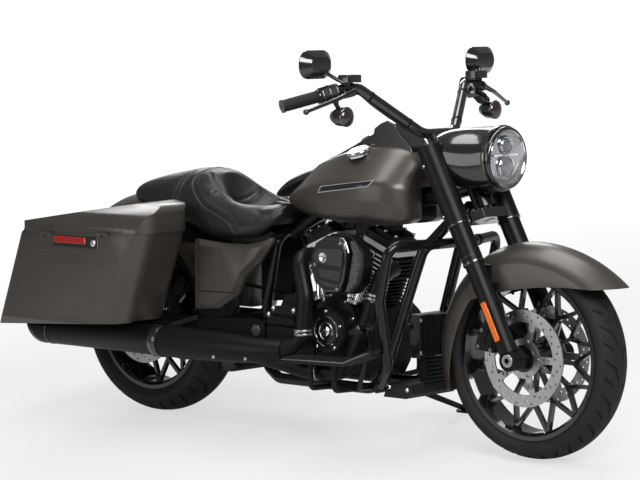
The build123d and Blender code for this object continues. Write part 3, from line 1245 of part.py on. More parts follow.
with BuildPart() as plate_holder:
    with BuildSketch(Plane((-452.0, 0, 420.0), x_dir=(0, 1, 0), z_dir=(-1, 0, 0.12))):
        RectangleRounded(190.0, 116.0, 8.0)
    extrude(amount=4.0)
    with BuildSketch(side_on((-444.0, 0, 430.0))):
        Rectangle(30.0, 30.0)
    extrude(amount=24.0, both=True)
    with BuildSketch(side_on(rear_axle_at)):
        Circle(REAR_FENDER_R + SEAT_GAP)
    extrude(amount=60.0, both=True, mode=Mode.SUBTRACT)
pieces["plate_holder"] = plate_holder.part
with BuildPart() as rear_caliper:
    with BuildSketch(side_on((0, -REAR_DISC_Y + 22.0, REAR_AXLE_Z))):
        with BuildLine():
            inner = CenterArc((0, 0), 98.0, 12.0, 44.0)
            outer = CenterArc((0, 0), 168.0, 12.0, 44.0)
            Line(inner @ 0, outer @ 0)
            Line(inner @ 1, outer @ 1)
        make_face()
    extrude(amount=ARM_IN - REAR_DISC_Y + 22.0 - SEAT_GAP)
    with BuildSketch(side_on((0, -REAR_DISC_Y, REAR_AXLE_Z))):
        Circle(DISC_R + 4.0)
    extrude(amount=DISC_T / 2 + 3.0, both=True, mode=Mode.SUBTRACT)
pieces["rear_caliper"] = rear_caliper.part




# ---------------------------------------------------------------- parked on the side stand
leaned = Location((0, 0, 0), (-LEAN, 0, 0))
boxes = [piece.moved(leaned).bounding_box() for piece in pieces.values()]
low = Vector(min(b.min.X for b in boxes), min(b.min.Y for b in boxes), min(b.min.Z for b in boxes))
high = Vector(max(b.max.X for b in boxes), max(b.max.Y for b in boxes), max(b.max.Z for b in boxes))
parked = Location((-(low.X + high.X) / 2, -(low.Y + high.Y) / 2, -low.Z), (-LEAN, 0, 0))
os.makedirs("parts", exist_ok=True)
for name, piece in pieces.items():
    placed = piece.moved(parked)
    placed.label = name
    export_step(placed, f"parts/{name}.step")
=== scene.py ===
"""Looks of a touring cruiser motorcycle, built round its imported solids.

Every piece is drawn upright in millimetres, with +X forward, +Y to the rider's left and Z up from
the ground under the rear axle, and is then parked: leaned onto its side stand and set in metres.
"""
import bmesh
import bpy
import json
import math
import mathutils
import mathutils.bvhtree
import mathutils.kdtree
from mathutils import Matrix, Vector

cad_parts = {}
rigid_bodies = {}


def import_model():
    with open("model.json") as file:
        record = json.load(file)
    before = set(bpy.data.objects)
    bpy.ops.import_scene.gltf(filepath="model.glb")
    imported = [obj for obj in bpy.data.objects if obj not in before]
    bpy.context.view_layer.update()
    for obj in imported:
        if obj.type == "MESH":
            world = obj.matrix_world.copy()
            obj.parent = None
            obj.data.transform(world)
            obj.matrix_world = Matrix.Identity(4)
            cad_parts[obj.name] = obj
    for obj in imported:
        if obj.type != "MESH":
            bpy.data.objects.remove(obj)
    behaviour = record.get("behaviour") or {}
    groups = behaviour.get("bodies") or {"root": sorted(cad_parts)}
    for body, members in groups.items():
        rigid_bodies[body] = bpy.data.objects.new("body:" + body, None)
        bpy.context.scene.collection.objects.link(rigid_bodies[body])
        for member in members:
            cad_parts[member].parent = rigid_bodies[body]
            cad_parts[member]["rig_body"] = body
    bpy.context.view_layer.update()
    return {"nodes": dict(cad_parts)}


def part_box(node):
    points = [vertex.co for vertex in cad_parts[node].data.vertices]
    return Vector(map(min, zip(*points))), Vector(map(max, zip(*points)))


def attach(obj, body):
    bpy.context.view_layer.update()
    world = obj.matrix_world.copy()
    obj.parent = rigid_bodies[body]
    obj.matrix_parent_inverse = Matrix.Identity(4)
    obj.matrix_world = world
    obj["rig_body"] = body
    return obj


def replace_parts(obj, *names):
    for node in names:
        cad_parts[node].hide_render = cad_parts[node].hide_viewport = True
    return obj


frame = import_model()

# ---------------------------------------------------------------- sizes, as in the solids
MM = 0.001
LEAN = 8
WHEELBASE = 1625
FRONT_AXLE = Vector((WHEELBASE, 0, 317))
REAR_AXLE = Vector((0, 0, 324))
FORK_RAKE = 27.2
FORK_Y = 125
CRANK = Vector((915, 0, 335))
V_HALF = math.radians(22.5)
SIDES = (1, -1)
DOWN = Vector((0, 0, -1))

axle_low, axle_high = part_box("rear_axle")
lean_turn = Matrix.Rotation(math.radians(-LEAN), 4, "X")
shift = (axle_low + axle_high) / 2 - lean_turn @ (REAR_AXLE * MM)
STOOD = Matrix.Translation(shift) @ lean_turn
PARKED = STOOD @ Matrix.Scale(MM, 4)
UNPARKED = PARKED.inverted()
fork_up = Vector((-math.sin(math.radians(FORK_RAKE)), 0, math.cos(math.radians(FORK_RAKE))))


# ---------------------------------------------------------------- shader maths
class Value:
    """A socket whose sums and products add the Math nodes they need."""

    def __init__(self, finish, socket):
        self.finish, self.socket = finish, socket

    def _math(self, operation, first, second=None):
        values = [first] if second is None else [first, second]
        return self.finish.node("ShaderNodeMath", {"operation": operation}, dict(enumerate(values)))

    def __add__(self, other):
        return self._math("ADD", self, other)

    def __sub__(self, other):
        return self._math("SUBTRACT", self, other)

    def __mul__(self, other):
        return self._math("MULTIPLY", self, other)

    def __truediv__(self, other):
        return self._math("DIVIDE", self, other)

    def __pow__(self, other):
        return self._math("POWER", self, other)

    def __rsub__(self, other):
        return self._math("SUBTRACT", other, self)

    __radd__ = __add__
    __rmul__ = __mul__

    def clamped(self):
        return self.finish.node("ShaderNodeClamp", {}, {"Value": self})


NOISE_ROUGHNESS = 0.55


class Finish:
    """A material with its Principled shader and the nodes that feed it."""

    def __init__(self, name, slot=None):
        self.material = bpy.data.materials.new(name)
        self.material.use_nodes = True
        self.slot = slot or name
        self.tree = self.material.node_tree
        self.shader = self.tree.nodes["Principled BSDF"]
        self.place = self.node("ShaderNodeTexCoord", {}, {}, "Object")

    def node(self, kind, settings, values, output=0):
        made = self.tree.nodes.new(kind)
        for name, setting in settings.items():
            if name == "stops":
                ramp = made.color_ramp
                while len(ramp.elements) < len(setting):
                    ramp.elements.new(0.5)
                for element, (position, colour) in zip(ramp.elements, setting):
                    element.position = position
                    element.color = (*colour, 1)
            else:
                setattr(made, name, setting)
        for name, value in values.items():
            self.feed(made.inputs[name], value)
        return Value(self, made.outputs[output])

    def feed(self, socket, value):
        if isinstance(value, Value):
            self.tree.links.new(value.socket, socket)
        elif isinstance(value, (tuple, list)) and len(value) == 3 and socket.type == "RGBA":
            socket.default_value = (*value, 1)
        else:
            socket.default_value = value

    def set(self, **values):
        for name, value in values.items():
            self.feed(self.shader.inputs[name.replace("_", " ").title() .replace("Ior", "IOR")], value)
        return self

    def noise(self, scale, detail, stretch=None):
        place = self.place
        if stretch:
            place = self.node("ShaderNodeMapping", {}, {"Vector": place, "Scale": stretch})
        return self.node("ShaderNodeTexNoise", {}, {"Vector": place, "Scale": scale, "Detail": detail,
                                                    "Roughness": NOISE_ROUGHNESS})

    def cells(self, scale):
        return self.node("ShaderNodeTexVoronoi", {}, {"Vector": self.place, "Scale": scale}, "Distance")

    def blend(self, factor, first, second):
        return self.node("ShaderNodeMix", {"data_type": "RGBA"}, {"Factor": factor, 6: first, 7: second}, 2)

    def bump(self, height, distance, strength=1):
        return self.node("ShaderNodeBump", {}, {"Height": height, "Distance": distance, "Strength": strength},
                         "Normal")


def varied(name, slot, colour, roughness, metallic=0, tone=0.12, scale=9, grain=0, grain_scale=900,
           coat=0, coat_roughness=0.05, spread=0.06, specular=0.5):
    """Finish with a slow tone and gloss variation, and a fine grain where it has one."""
    finish = Finish(name, slot)
    slow = finish.noise(scale, 4)
    fine = finish.noise(scale * 11, 3)
    dark = tuple(c * (1 - tone) for c in colour)
    light = tuple(min(1, c * (1 + tone)) for c in colour)
    finish.set(base_color=finish.blend((slow * 0.6 + fine * 0.4).clamped(), dark, light), metallic=metallic,
               roughness=roughness - spread / 2 + spread * (slow * 0.5 + fine * 0.5),
               specular_ior_level=specular)
    if coat:
        finish.set(coat_weight=coat, coat_roughness=coat_roughness)
    if grain:
        finish.set(normal=finish.bump(finish.noise(grain_scale, 2), grain * MM))
    return finish


# ---------------------------------------------------------------- finishes
def metallic_paint(name, slot, dark, light):
    """Warm grey metallic paint with fine flake under a satin clear coat."""
    finish = Finish(name, slot)
    flake = finish.cells(2600)
    slow = finish.noise(5, 3)
    tone = (slow * 0.55 + flake * 0.45).clamped()
    finish.set(base_color=finish.blend(tone, dark, light), metallic=0.62, roughness=0.36 + 0.1 * flake,
               coat_weight=0.3 + 0.1 * slow, coat_roughness=0.22,
               normal=finish.bump(finish.noise(260, 2), 0.02 * MM))
    return finish


def grained_leather(name, slot):
    """Black leather-like cover with a pebble grain and slightly polished high spots."""
    finish = Finish(name, slot)
    pebble = finish.cells(420)
    crease = finish.noise(60, 5)
    worn = finish.noise(6, 3)
    finish.set(base_color=finish.blend((pebble * 0.7 + worn * 0.4).clamped(), (0.004, 0.004, 0.0043),
                                       (0.013, 0.013, 0.0135)),
               roughness=0.32 + 0.14 * pebble - 0.1 * (worn - 0.5),
               normal=finish.bump(pebble + crease * 0.4, 0.35 * MM, 0.7), specular_ior_level=0.38)
    return finish


def tyre_rubber(name, slot):
    """Nearly black rubber with a dry film of dust and fine mould marks."""
    finish = Finish(name, slot)
    dust = finish.noise(26, 6)
    fine = finish.noise(900, 2)
    finish.set(base_color=finish.blend(dust, (0.007, 0.007, 0.0072), (0.018, 0.0175, 0.017)),
               roughness=0.6 + 0.16 * dust, normal=finish.bump(fine, 0.12 * MM), specular_ior_level=0.25)
    return finish


def brushed_disc(name, slot):
    """Ground steel: fine scratches with a slow stain."""
    finish = Finish(name, slot)
    scratch = finish.noise(700, 2, stretch=(0.2, 1, 0.2))
    stain = finish.noise(14, 4)
    finish.set(base_color=finish.blend(stain, (0.36, 0.36, 0.37), (0.56, 0.56, 0.57)), metallic=1,
               roughness=0.26 + 0.16 * scratch, normal=finish.bump(scratch, 0.03 * MM))
    return finish


def clear_lens(name, slot):
    """Clear moulded lens with a hint of flow marks."""
    finish = Finish(name, slot)
    flow = finish.noise(40, 2)
    finish.set(base_color=(1, 1, 1), roughness=0.01 + 0.02 * flow, transmission_weight=1, ior=1.45)
    return finish


def glowing_lens(name, slot, colour, glow):
    """Lens face that glows faintly in its own colour: light from inside on a lamp, painted light on a
    reflector.
    """
    finish = varied(name, slot, colour, 0.12, tone=0.2, scale=60, coat=0.6)
    return finish.set(emission_color=colour, emission_strength=glow)


paint = metallic_paint("grey_metallic_paint", "paint", (0.046, 0.039, 0.033), (0.098, 0.085, 0.073))
gloss_black = varied("gloss_black_paint", "gloss_black", (0.006, 0.006, 0.0065), 0.16, tone=0.3, coat=0.9,
                     coat_roughness=0.03, spread=0.05)
satin_black = varied("satin_black_coating", "satin_black", (0.005, 0.005, 0.0053), 0.38, tone=0.22,
                     grain=0.03, grain_scale=700, specular=0.16)
frame_black = varied("frame_black_coating", "frame_black", (0.005, 0.005, 0.0053), 0.22, tone=0.25, coat=0.25,
                     coat_roughness=0.08, specular=0.25)
engine_black = varied("engine_black_coating", "cast_black", (0.006, 0.006, 0.0063), 0.42,
                      tone=0.2, scale=30, grain=0.08, grain_scale=420, specular=0.2)
machined = varied("machined_edge", "steel", (0.72, 0.72, 0.71), 0.38, metallic=0.55, tone=0.1,
                  scale=60, spread=0.16, grain=0.02, grain_scale=1500)
chrome = varied("chrome_plate", "chrome", (0.78, 0.79, 0.8), 0.06, metallic=1, tone=0.05, scale=12,
                spread=0.05)
dark_chrome = varied("dark_chrome", "chrome", (0.16, 0.16, 0.165), 0.14, metallic=1, tone=0.1, spread=0.06)
steel = brushed_disc("ground_steel", "steel")
alloy = varied("bare_alloy", "steel", (0.42, 0.42, 0.42), 0.36, metallic=1, tone=0.12, scale=40, grain=0.04)
fastener = varied("zinc_fastener", "steel", (0.3, 0.3, 0.31), 0.3, metallic=1, tone=0.15, scale=90)
leather = grained_leather("seat_leather", "leather")
thread = varied("seat_thread", "leather", (0.05, 0.05, 0.052), 0.7, tone=0.2, scale=500)
tread = tyre_rubber("tyre_rubber", "tyre")
rubber = varied("moulded_rubber", "rubber", (0.009, 0.009, 0.009), 0.62, tone=0.25, scale=50, grain=0.08,
                specular=0.25)
plastic = varied("grained_plastic", "black_plastic", (0.009, 0.009, 0.0095), 0.5, tone=0.2, scale=30,
                 grain=0.08, grain_scale=650, specular=0.25)
mirror = varied("mirror_glass", "chrome", (0.82, 0.84, 0.86), 0.02, metallic=1, tone=0.02, spread=0.01)
lens = clear_lens("headlamp_lens", "lens")
reflector = varied("lamp_reflector", "chrome", (0.34, 0.35, 0.37), 0.12, metallic=1, tone=0.2, spread=0.08)
projector = glowing_lens("projector_lens", "lens", (0.1, 0.11, 0.125), 0.3)
smoked = varied("smoked_lens", "dark_lens", (0.02, 0.014, 0.01), 0.1, tone=0.3, coat=0.9,
                coat_roughness=0.02, scale=40)
# red lens with a faint glow: a lamp's own light on the tail lamp, painted light on the bag reflectors
red_lens = glowing_lens("red_lens", "red_lens", (0.3, 0.006, 0.006), 0.05)
# amber fork reflectors: their faint glow is painted light standing in for the light they reflect
amber_painted_glow = glowing_lens("amber_reflector", "dark_lens", (0.62, 0.13, 0.01), 0.1)
dial_black = varied("dial_face", "black_plastic", (0.006, 0.006, 0.006), 0.3, tone=0.2)
dial_white = varied("dial_marks", "black_plastic", (0.6, 0.6, 0.6), 0.5, tone=0.05)


# ---------------------------------------------------------------- making pieces
WELD = 0.01


def finished(piece, body, finish, smooth=38):
    """Gives a piece its finish, its shading and the body that it rides on."""
    piece.data.materials.clear()
    piece.data.materials.append(finish.material)
    piece.data.shade_smooth()
    if smooth < 180:
        piece.data.set_sharp_from_angle(angle=math.radians(smooth))
    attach(piece, body)
    return piece


def linked(name, data):
    """A new object of the scene that shows the data."""
    made = bpy.data.objects.new(name, data)
    bpy.context.scene.collection.objects.link(made)
    return made


def loose(name, bm, parked=False):
    """Ends a drawing as a mesh object with outward faces that isn't a piece yet."""
    bmesh.ops.recalc_face_normals(bm, faces=bm.faces)
    mesh = bpy.data.meshes.new(name)
    bm.to_mesh(mesh)
    bm.free()
    if parked:
        mesh.transform(PARKED)
    return linked(name, mesh)


def from_bmesh(name, bm, body, finish, smooth=38):
    """Turns an upright drawing into a parked piece with outward faces."""
    bmesh.ops.remove_doubles(bm, verts=bm.verts, dist=WELD)
    return finished(loose(name, bm, parked=True), body, finish, smooth)


def bevelled(piece, width, segments=2, angle=40):
    """Rounds a piece's sharp edges; width in millimetres."""
    bevel = piece.modifiers.new("edge_radius", "BEVEL")
    bevel.width = width * MM
    bevel.segments = segments
    bevel.limit_method = "ANGLE"
    bevel.angle_limit = math.radians(angle)
    bevel.harden_normals = True
    return piece


def merged_copy(node):
    """A node's mesh as one closed surface, with its flat stretches made whole again."""
    bm = bmesh.new()
    bm.from_mesh(frame["nodes"][node].data)
    bmesh.ops.remove_doubles(bm, verts=bm.verts, dist=2e-5)
    bmesh.ops.dissolve_limit(bm, angle_limit=math.radians(0.6), verts=bm.verts, edges=bm.edges)
    return bm


def dress(node, finish, radius):
    """A node's shape with rounded edges, in place of the node."""
    mesh = bpy.data.meshes.new(node + "_skin")
    bm = merged_copy(node)
    bm.to_mesh(mesh)
    bm.free()
    piece = finished(linked(node + "_skin", mesh), frame["nodes"][node]["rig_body"], finish, 32)
    if radius:
        bevelled(piece, radius)
    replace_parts(piece, node)


def facing_right(x, y, z):
    """Matrix at a point with Y up and Z to the rider's right."""
    return Matrix.Translation((x, y, z)) @ Matrix.Rotation(math.pi / 2, 4, "X")


def outward(y, spots):
    """Places at one distance from the middle plane, each with its direction away from it."""
    return [(Vector((x, y, z)), (0, math.copysign(1, y), 0)) for x, z in spots]


def turned(centre, along, spin=0):
    """Matrix that puts a shape drawn about Z at a centre, with Z along a direction."""
    direction = Vector(along).normalized()
    return (Matrix.Translation(Vector(centre)) @ direction.to_track_quat("Z", "Y").to_matrix().to_4x4()
            @ Matrix.Rotation(math.radians(spin), 4, "Z"))


def lathe(bm, profile, place, steps):
    """Revolves (radius, height) points about the Z of a placing matrix; points on the axis close it."""
    rings = []
    for radius, height in profile:
        if radius < 1e-6:
            rings.append([bm.verts.new(place @ Vector((0, 0, height)))])
            continue
        rings.append([bm.verts.new(place @ Vector((radius * math.cos(a), radius * math.sin(a), height)))
                      for a in (2 * math.pi * i / steps for i in range(steps))])
    for first, second in zip(rings, rings[1:]):
        for i in range(steps):
            j = (i + 1) % steps
            if len(first) == 1 and len(second) == 1:
                continue
            if len(first) == 1:
                corners = [first[0], second[i], second[j]]
            elif len(second) == 1:
                corners = [first[i], second[0], first[j]]
            else:
                corners = [first[i], second[i], second[j], first[j]]
            bm.faces.new(corners)
    return rings


def bridged(bm, rings, sides=None):
    """Faces from each ring of points to the next, all the way round or only at some sides."""
    for first, second in zip(rings, rings[1:]):
        for k in sides or range(len(first)):
            j = (k + 1) % len(first)
            bm.faces.new([first[k], first[j], second[j], second[k]])


def banded(bm, place, lines, sides=None):
    """Open band through flat outlines, each with its height above a placing matrix."""
    bridged(bm, [[bm.verts.new(place @ Vector((x, y, height))) for x, y in line] for line, height in lines],
            sides)


def tube(bm, points, radius, steps, closed=False, widths=None):
    """Sweeps a round or flattened section along points, capped at the ends."""
    points = [Vector(p) for p in points]
    rings = []
    for i, point in enumerate(points):
        before = points[i - 1] if i or closed else point
        after = points[(i + 1) % len(points)] if i + 1 < len(points) or closed else point
        along = (after - before).normalized()
        side = along.cross(Vector((0, 0, 1)))
        if side.length < 0.05:
            side = along.cross(Vector((1, 0, 0)))
        side.normalize()
        rise = side.cross(along)
        wide, high = widths[i] if widths else (radius, radius)
        rings.append([bm.verts.new(point + side * (wide * math.cos(a)) + rise * (high * math.sin(a)))
                      for a in (2 * math.pi * k / steps for k in range(steps))])
    bridged(bm, rings + rings[:1] if closed else rings)
    if not closed:
        for ring in (rings[0], rings[-1]):
            bm.faces.new(ring)


def curve_through(points, count=12):
    """Smooth points through given ones, by Catmull-Rom spans."""
    points = [Vector(p) for p in points]
    ends = [points[0] * 2 - points[1]] + points + [points[-1] * 2 - points[-2]]
    found = []
    for a, b, c, d in zip(ends, ends[1:], ends[2:], ends[3:]):
        for step in range(count):
            t = step / count
            found.append(0.5 * (2 * b + (c - a) * t + (2 * a - 5 * b + 4 * c - d) * t * t
                                + (3 * b - a - 3 * c + d) * t ** 3))
    return found + [points[-1]]


def block(bm, place, size):
    """A box of a size about the origin of a placing matrix."""
    bmesh.ops.create_cube(bm, size=1, matrix=place @ Matrix.Diagonal((*size, 1)))


def plate(bm, outline, place, depth):
    """Extrudes a flat outline, drawn in XY, along Z of a placing matrix."""
    low = [bm.verts.new(place @ Vector((x, y, 0))) for x, y in outline]
    high = [bm.verts.new(place @ Vector((x, y, depth))) for x, y in outline]
    bm.faces.new(low)
    bm.faces.new(high)
    bridged(bm, [low, high])


def rounded(width, height, radius, steps=6):
    """Outline of a rectangle with round corners."""
    outline = []
    for sx, sy, start in ((1, 1, 0), (-1, 1, 90), (-1, -1, 180), (1, -1, 270)):
        for k in range(steps + 1):
            a = math.radians(start + 90 * k / steps)
            outline.append((sx * (width / 2 - radius) + radius * math.cos(a),
                            sy * (height / 2 - radius) + radius * math.sin(a)))
    return outline


def shape(name, profile, steps, place=Matrix()):
    """One small turned shape, upright on the origin, to be set out many times."""
    bm = bmesh.new()
    lathe(bm, profile, place, steps)
    return loose(name, bm)


def lathed(name, body, finish, *turnings):
    """A piece of turned shapes, each given as a profile, a placing matrix and its steps."""
    bm = bmesh.new()
    for turning in turnings:
        lathe(bm, *turning)
    return from_bmesh(name, bm, body, finish)


# ---------------------------------------------------------------- camera, lights and floor
FLOOR_REACH = 30
GLOSS_SHARE = 0.14


def make_camera():
    data = bpy.data.cameras.new("camera")
    data.sensor_width = 36
    data.lens = 154.69
    data.clip_start, data.clip_end = 0.05, 200
    camera = linked("camera", data)
    # right, up and backwards as seen by the camera
    turn = Matrix(((0.7434, 0.6689, -0.0054), (-0.0521, 0.0658, 0.9965),
                   (0.6669, -0.7405, 0.0837))).transposed().to_4x4()
    camera.matrix_world = STOOD @ Matrix.Translation(Vector((6.7369, -6.6672, 1.3822))) @ turn
    bpy.context.scene.camera = camera


def soft_light(name, place, aim, size, power):
    data = bpy.data.lights.new(name, "AREA")
    data.shape = "RECTANGLE"
    data.size, data.size_y = size
    data.energy = power
    lamp = linked(name, data)
    lamp.location = place
    lamp.rotation_mode = "QUATERNION"
    lamp.rotation_quaternion = (Vector(aim) - Vector(place)).to_track_quat("-Z", "Y")


def seen_by_camera(finish):
    """A value that is 1 for rays from the camera or through glass, and a small share for gloss."""
    rays = [finish.node("ShaderNodeLightPath", {}, {}, name) for name in
            ("Is Camera Ray", "Is Glossy Ray", "Is Transmission Ray")]
    return (rays[0] + rays[1] * GLOSS_SHARE + rays[2]).clamped()


def make_studio():
    """Pale floor that keeps the shadow, a pale world and four broad lamps."""
    floor = bpy.data.meshes.new("floor")
    floor.from_pydata([(x * FLOOR_REACH, y * FLOOR_REACH, 0)
                       for x, y in ((-1, -1), (1, -1), (1, 1), (-1, 1))], [], [(0, 1, 2, 3)])
    ground = linked("floor", floor)
    finish = Finish("pale_floor")
    finish.set(base_color=(0.5, 0.5, 0.5), roughness=0.6)
    glow = finish.node("ShaderNodeEmission", {}, {"Color": (1, 1, 1), "Strength": 1.06}, "Emission")
    away = finish.node("ShaderNodeVectorMath", {"operation": "LENGTH"}, {0: finish.place}, "Value")
    far = ((away - 1.6) / 2.4).clamped()
    mixed = finish.node("ShaderNodeMixShader", {}, {"Fac": (0.6 + 0.4 * far) * seen_by_camera(finish)},
                        "Shader")
    finish.tree.links.new(finish.shader.outputs["BSDF"], mixed.socket.node.inputs[1])
    finish.tree.links.new(glow.socket, mixed.socket.node.inputs[2])
    finish.tree.links.new(mixed.socket, finish.tree.nodes["Material Output"].inputs["Surface"])
    floor.materials.append(finish.material)

    world = bpy.data.worlds.new("studio")
    world.use_nodes = True
    bpy.context.scene.world = world
    background = world.node_tree.nodes["Background"].inputs
    background["Color"].default_value = (1, 1, 1, 1)
    background["Strength"].default_value = 0.2
    soft_light("key_softbox", (4.2, -2.2, 3.6), (0.2, -0.1, 0.6), (3.2, 2.2), 270)
    soft_light("top_softbox", (-0.3, 0, 4.6), (0, 0, 0.5), (4.4, 2), 150)
    soft_light("side_softbox", (-1.8, -5, 2), (-0.3, 0, 0.5), (3.4, 2.4), 50)
    soft_light("back_softbox", (-3.6, 3.8, 3.2), (0, 0, 0.7), (3, 2), 120)
    bpy.context.scene.view_settings.view_transform = "Standard"


make_camera()
make_studio()


# ---------------------------------------------------------------- hard pieces straight from the solids
LOOKS = (
    # node, finish, edge radius in mm
    ("fork_sliders", satin_black, 1.2), ("fork_covers", satin_black, 1.5),
    ("triple_clamps", gloss_black, 1.5), ("front_fender", paint, 0.8), ("nacelle", gloss_black, 1.5),
    ("handlebar", gloss_black, 0), ("grips", rubber, 0.8), ("switches", plastic, 1.2),
    ("levers", gloss_black, 1), ("mirrors", gloss_black, 1), ("front_signals", gloss_black, 1),
    ("front_calipers", engine_black, 1.5), ("side_stand", frame_black, 1),
    ("frame", frame_black, 1.2), ("swing_arm", satin_black, 1.5), ("pivot_shaft", fastener, 0.5),
    ("shocks", satin_black, 0.8), ("crankcase", engine_black, 2), ("cylinders", engine_black, 0.4),
    ("rocker_covers", engine_black, 2), ("cam_cover", engine_black, 2), ("pushrod_tubes", chrome, 0.6),
    ("gearbox", engine_black, 2), ("primary_cover", engine_black, 2),
    ("drive_belt", rubber, 0.4), ("header_pipes", satin_black, 0), ("mufflers", satin_black, 1),
    ("fuel_tank", paint, 0), ("rear_fender", paint, 0.8),
    ("saddlebag_right", paint, 1.2), ("saddlebag_left", paint, 1.2), ("lid_right", paint, 1.2),
    ("lid_left", paint, 1.2), ("side_covers", paint, 1.2), ("bag_rails", frame_black, 0),
    ("engine_guard", frame_black, 0), ("oil_cooler", engine_black, 0.4), ("chin_cover", plastic, 1.5),
    ("footboards", rubber, 1.2), ("brake_pedal", frame_black, 1), ("shift_lever", frame_black, 1),
    ("tail_lamp", red_lens, 1), ("rear_signals", gloss_black, 1), ("plate_holder", plastic, 1),
    ("rear_caliper", engine_black, 1.2),
    ("front_rim", gloss_black, 1.2), ("rear_rim", gloss_black, 1.2),
    ("rear_pulley", satin_black, 0.6), ("front_axle", fastener, 0.5),
    ("rear_axle", fastener, 0.5),
)
for node, finish, radius in LOOKS:
    dress(node, finish, radius)


# ---------------------------------------------------------------- repeats made by Geometry Nodes
def node_tree(name, sizes):
    """Empty geometry tree with a geometry input and output and named size inputs."""
    tree = bpy.data.node_groups.new(name, "GeometryNodeTree")
    tree.interface.new_socket("Geometry", in_out="INPUT", socket_type="NodeSocketGeometry")
    tree.interface.new_socket("Shape", in_out="INPUT", socket_type="NodeSocketObject")
    for label, value in sizes.items():
        tree.interface.new_socket(label, in_out="INPUT", socket_type="NodeSocketFloat").default_value = value
    tree.interface.new_socket("Geometry", in_out="OUTPUT", socket_type="NodeSocketGeometry")
    tree.nodes.new("NodeGroupInput")
    tree.nodes.new("NodeGroupOutput")
    return tree


def grown(carrier, tree, shape, sizes, finish, name, body):
    """Runs a tree on a carrier mesh or curve and keeps its result as one plain piece."""
    grow = carrier.modifiers.new("grow", "NODES")
    grow.node_group = tree
    for item in tree.interface.items_tree:
        if item.in_out == "INPUT" and item.name == "Shape":
            grow[item.identifier] = shape
        elif item.in_out == "INPUT" and item.name in sizes:
            grow[item.identifier] = sizes[item.name]
    evaluated = carrier.evaluated_get(bpy.context.evaluated_depsgraph_get())
    mesh = bpy.data.meshes.new_from_object(evaluated)
    mesh.name = name
    carrier.modifiers.remove(grow)
    for spare in (carrier, shape):
        bpy.data.objects.remove(spare)
    mesh.transform(PARKED)
    return finished(linked(name, mesh), body, finish, 40)


def wired(tree, finish, made, wires):
    """Adds named nodes to a tree, ends them with realized instances and a material, and links them."""
    made = {label: tree.nodes.new(kind) for label, kind in made.items()}
    made.update(start=tree.nodes["Group Input"], end=tree.nodes["Group Output"],
                real=tree.nodes.new("GeometryNodeRealizeInstances"),
                coat=tree.nodes.new("GeometryNodeSetMaterial"))
    made["coat"].inputs["Material"].default_value = finish.material
    for wire in (*wires, "start.Shape info.Object", "info.Geometry put.Instance",
                 "put.Instances real.Geometry", "real.Geometry coat.Geometry", "coat.Geometry end.Geometry"):
        (source, out), (target, into) = (end.split(".") for end in wire.split(" "))
        tree.links.new(made[source].outputs[out], made[target].inputs[into])
    return made


def set_out(name, places, shape, finish, body):
    """Sets one small shape, drawn about Z, on many places given as (point, direction) pairs."""
    mesh = bpy.data.meshes.new(name + "_places")
    mesh.from_pydata([tuple(point) for point, along in places], [], [])
    along = mesh.attributes.new("along", "FLOAT_VECTOR", "POINT")
    for i, (point, direction) in enumerate(places):
        along.data[i].vector = Vector(direction).normalized()
    tree = node_tree(name + "_set", {})
    made = wired(tree, finish, {"read": "GeometryNodeInputNamedAttribute",
                                "align": "FunctionNodeAlignRotationToVector",
                                "info": "GeometryNodeObjectInfo", "put": "GeometryNodeInstanceOnPoints"},
                 ("start.Geometry put.Points",))
    made["read"].data_type = "FLOAT_VECTOR"
    made["read"].inputs["Name"].default_value = "along"
    made["align"].axis = "Z"
    tree.links.new(made["read"].outputs["Attribute"], made["align"].inputs["Vector"])
    tree.links.new(made["align"].outputs["Rotation"], made["put"].inputs["Rotation"])
    return grown(linked(name + "_places", mesh), tree, shape, {}, finish, name, body)


def run_along(name, paths, shape, spacing, finish, body):
    """Sets one small shape, drawn along X, at a spacing along one or more paths."""
    curve = bpy.data.curves.new(name + "_paths", "CURVE")
    curve.dimensions = "3D"
    for path in paths:
        spline = curve.splines.new("POLY")
        spline.points.add(len(path) - 1)
        for point, place in zip(spline.points, path):
            point.co = (*place, 1)
    tree = node_tree(name + "_run", {"Spacing": spacing})
    made = wired(tree, finish, {"resample": "GeometryNodeResampleCurve",
                                "tangent": "GeometryNodeInputTangent",
                                "align": "FunctionNodeAlignRotationToVector",
                                "info": "GeometryNodeObjectInfo", "put": "GeometryNodeInstanceOnPoints"},
                 ("start.Geometry resample.Curve", "tangent.Tangent align.Vector",
                  "resample.Curve put.Points", "align.Rotation put.Rotation"))
    made["resample"].mode = "LENGTH"
    made["align"].axis = "X"
    tree.links.new(made["start"].outputs["Spacing"], made["resample"].inputs["Length"])
    return grown(linked(name + "_paths", curve), tree, shape, {"Spacing": spacing}, finish, name, body)


def socket_screw(radius, height):
    """Round screw head with a chamfer and a six-sided socket, drawn upright on the origin."""
    bm = bmesh.new()
    lathe(bm, [(0, height * 0.35), (radius * 0.45, height * 0.35), (radius * 0.52, height),
               (radius * 0.86, height), (radius, height * 0.78), (radius, 0)], Matrix(), 12)
    return loose("socket_screw", bm)


def hex_screw(radius, height):
    """Six-sided screw head on its round flange."""
    bm = bmesh.new()
    lathe(bm, [(0, height), (radius * 0.84, height), (radius, height * 0.84), (radius, 1.4)], Matrix(), 6)
    lathe(bm, [(radius * 0.7, 1.8), (radius * 1.28, 1.6), (radius * 1.34, 1), (radius * 1.34, 0)], Matrix(),
          18)
    return loose("hex_screw", bm)


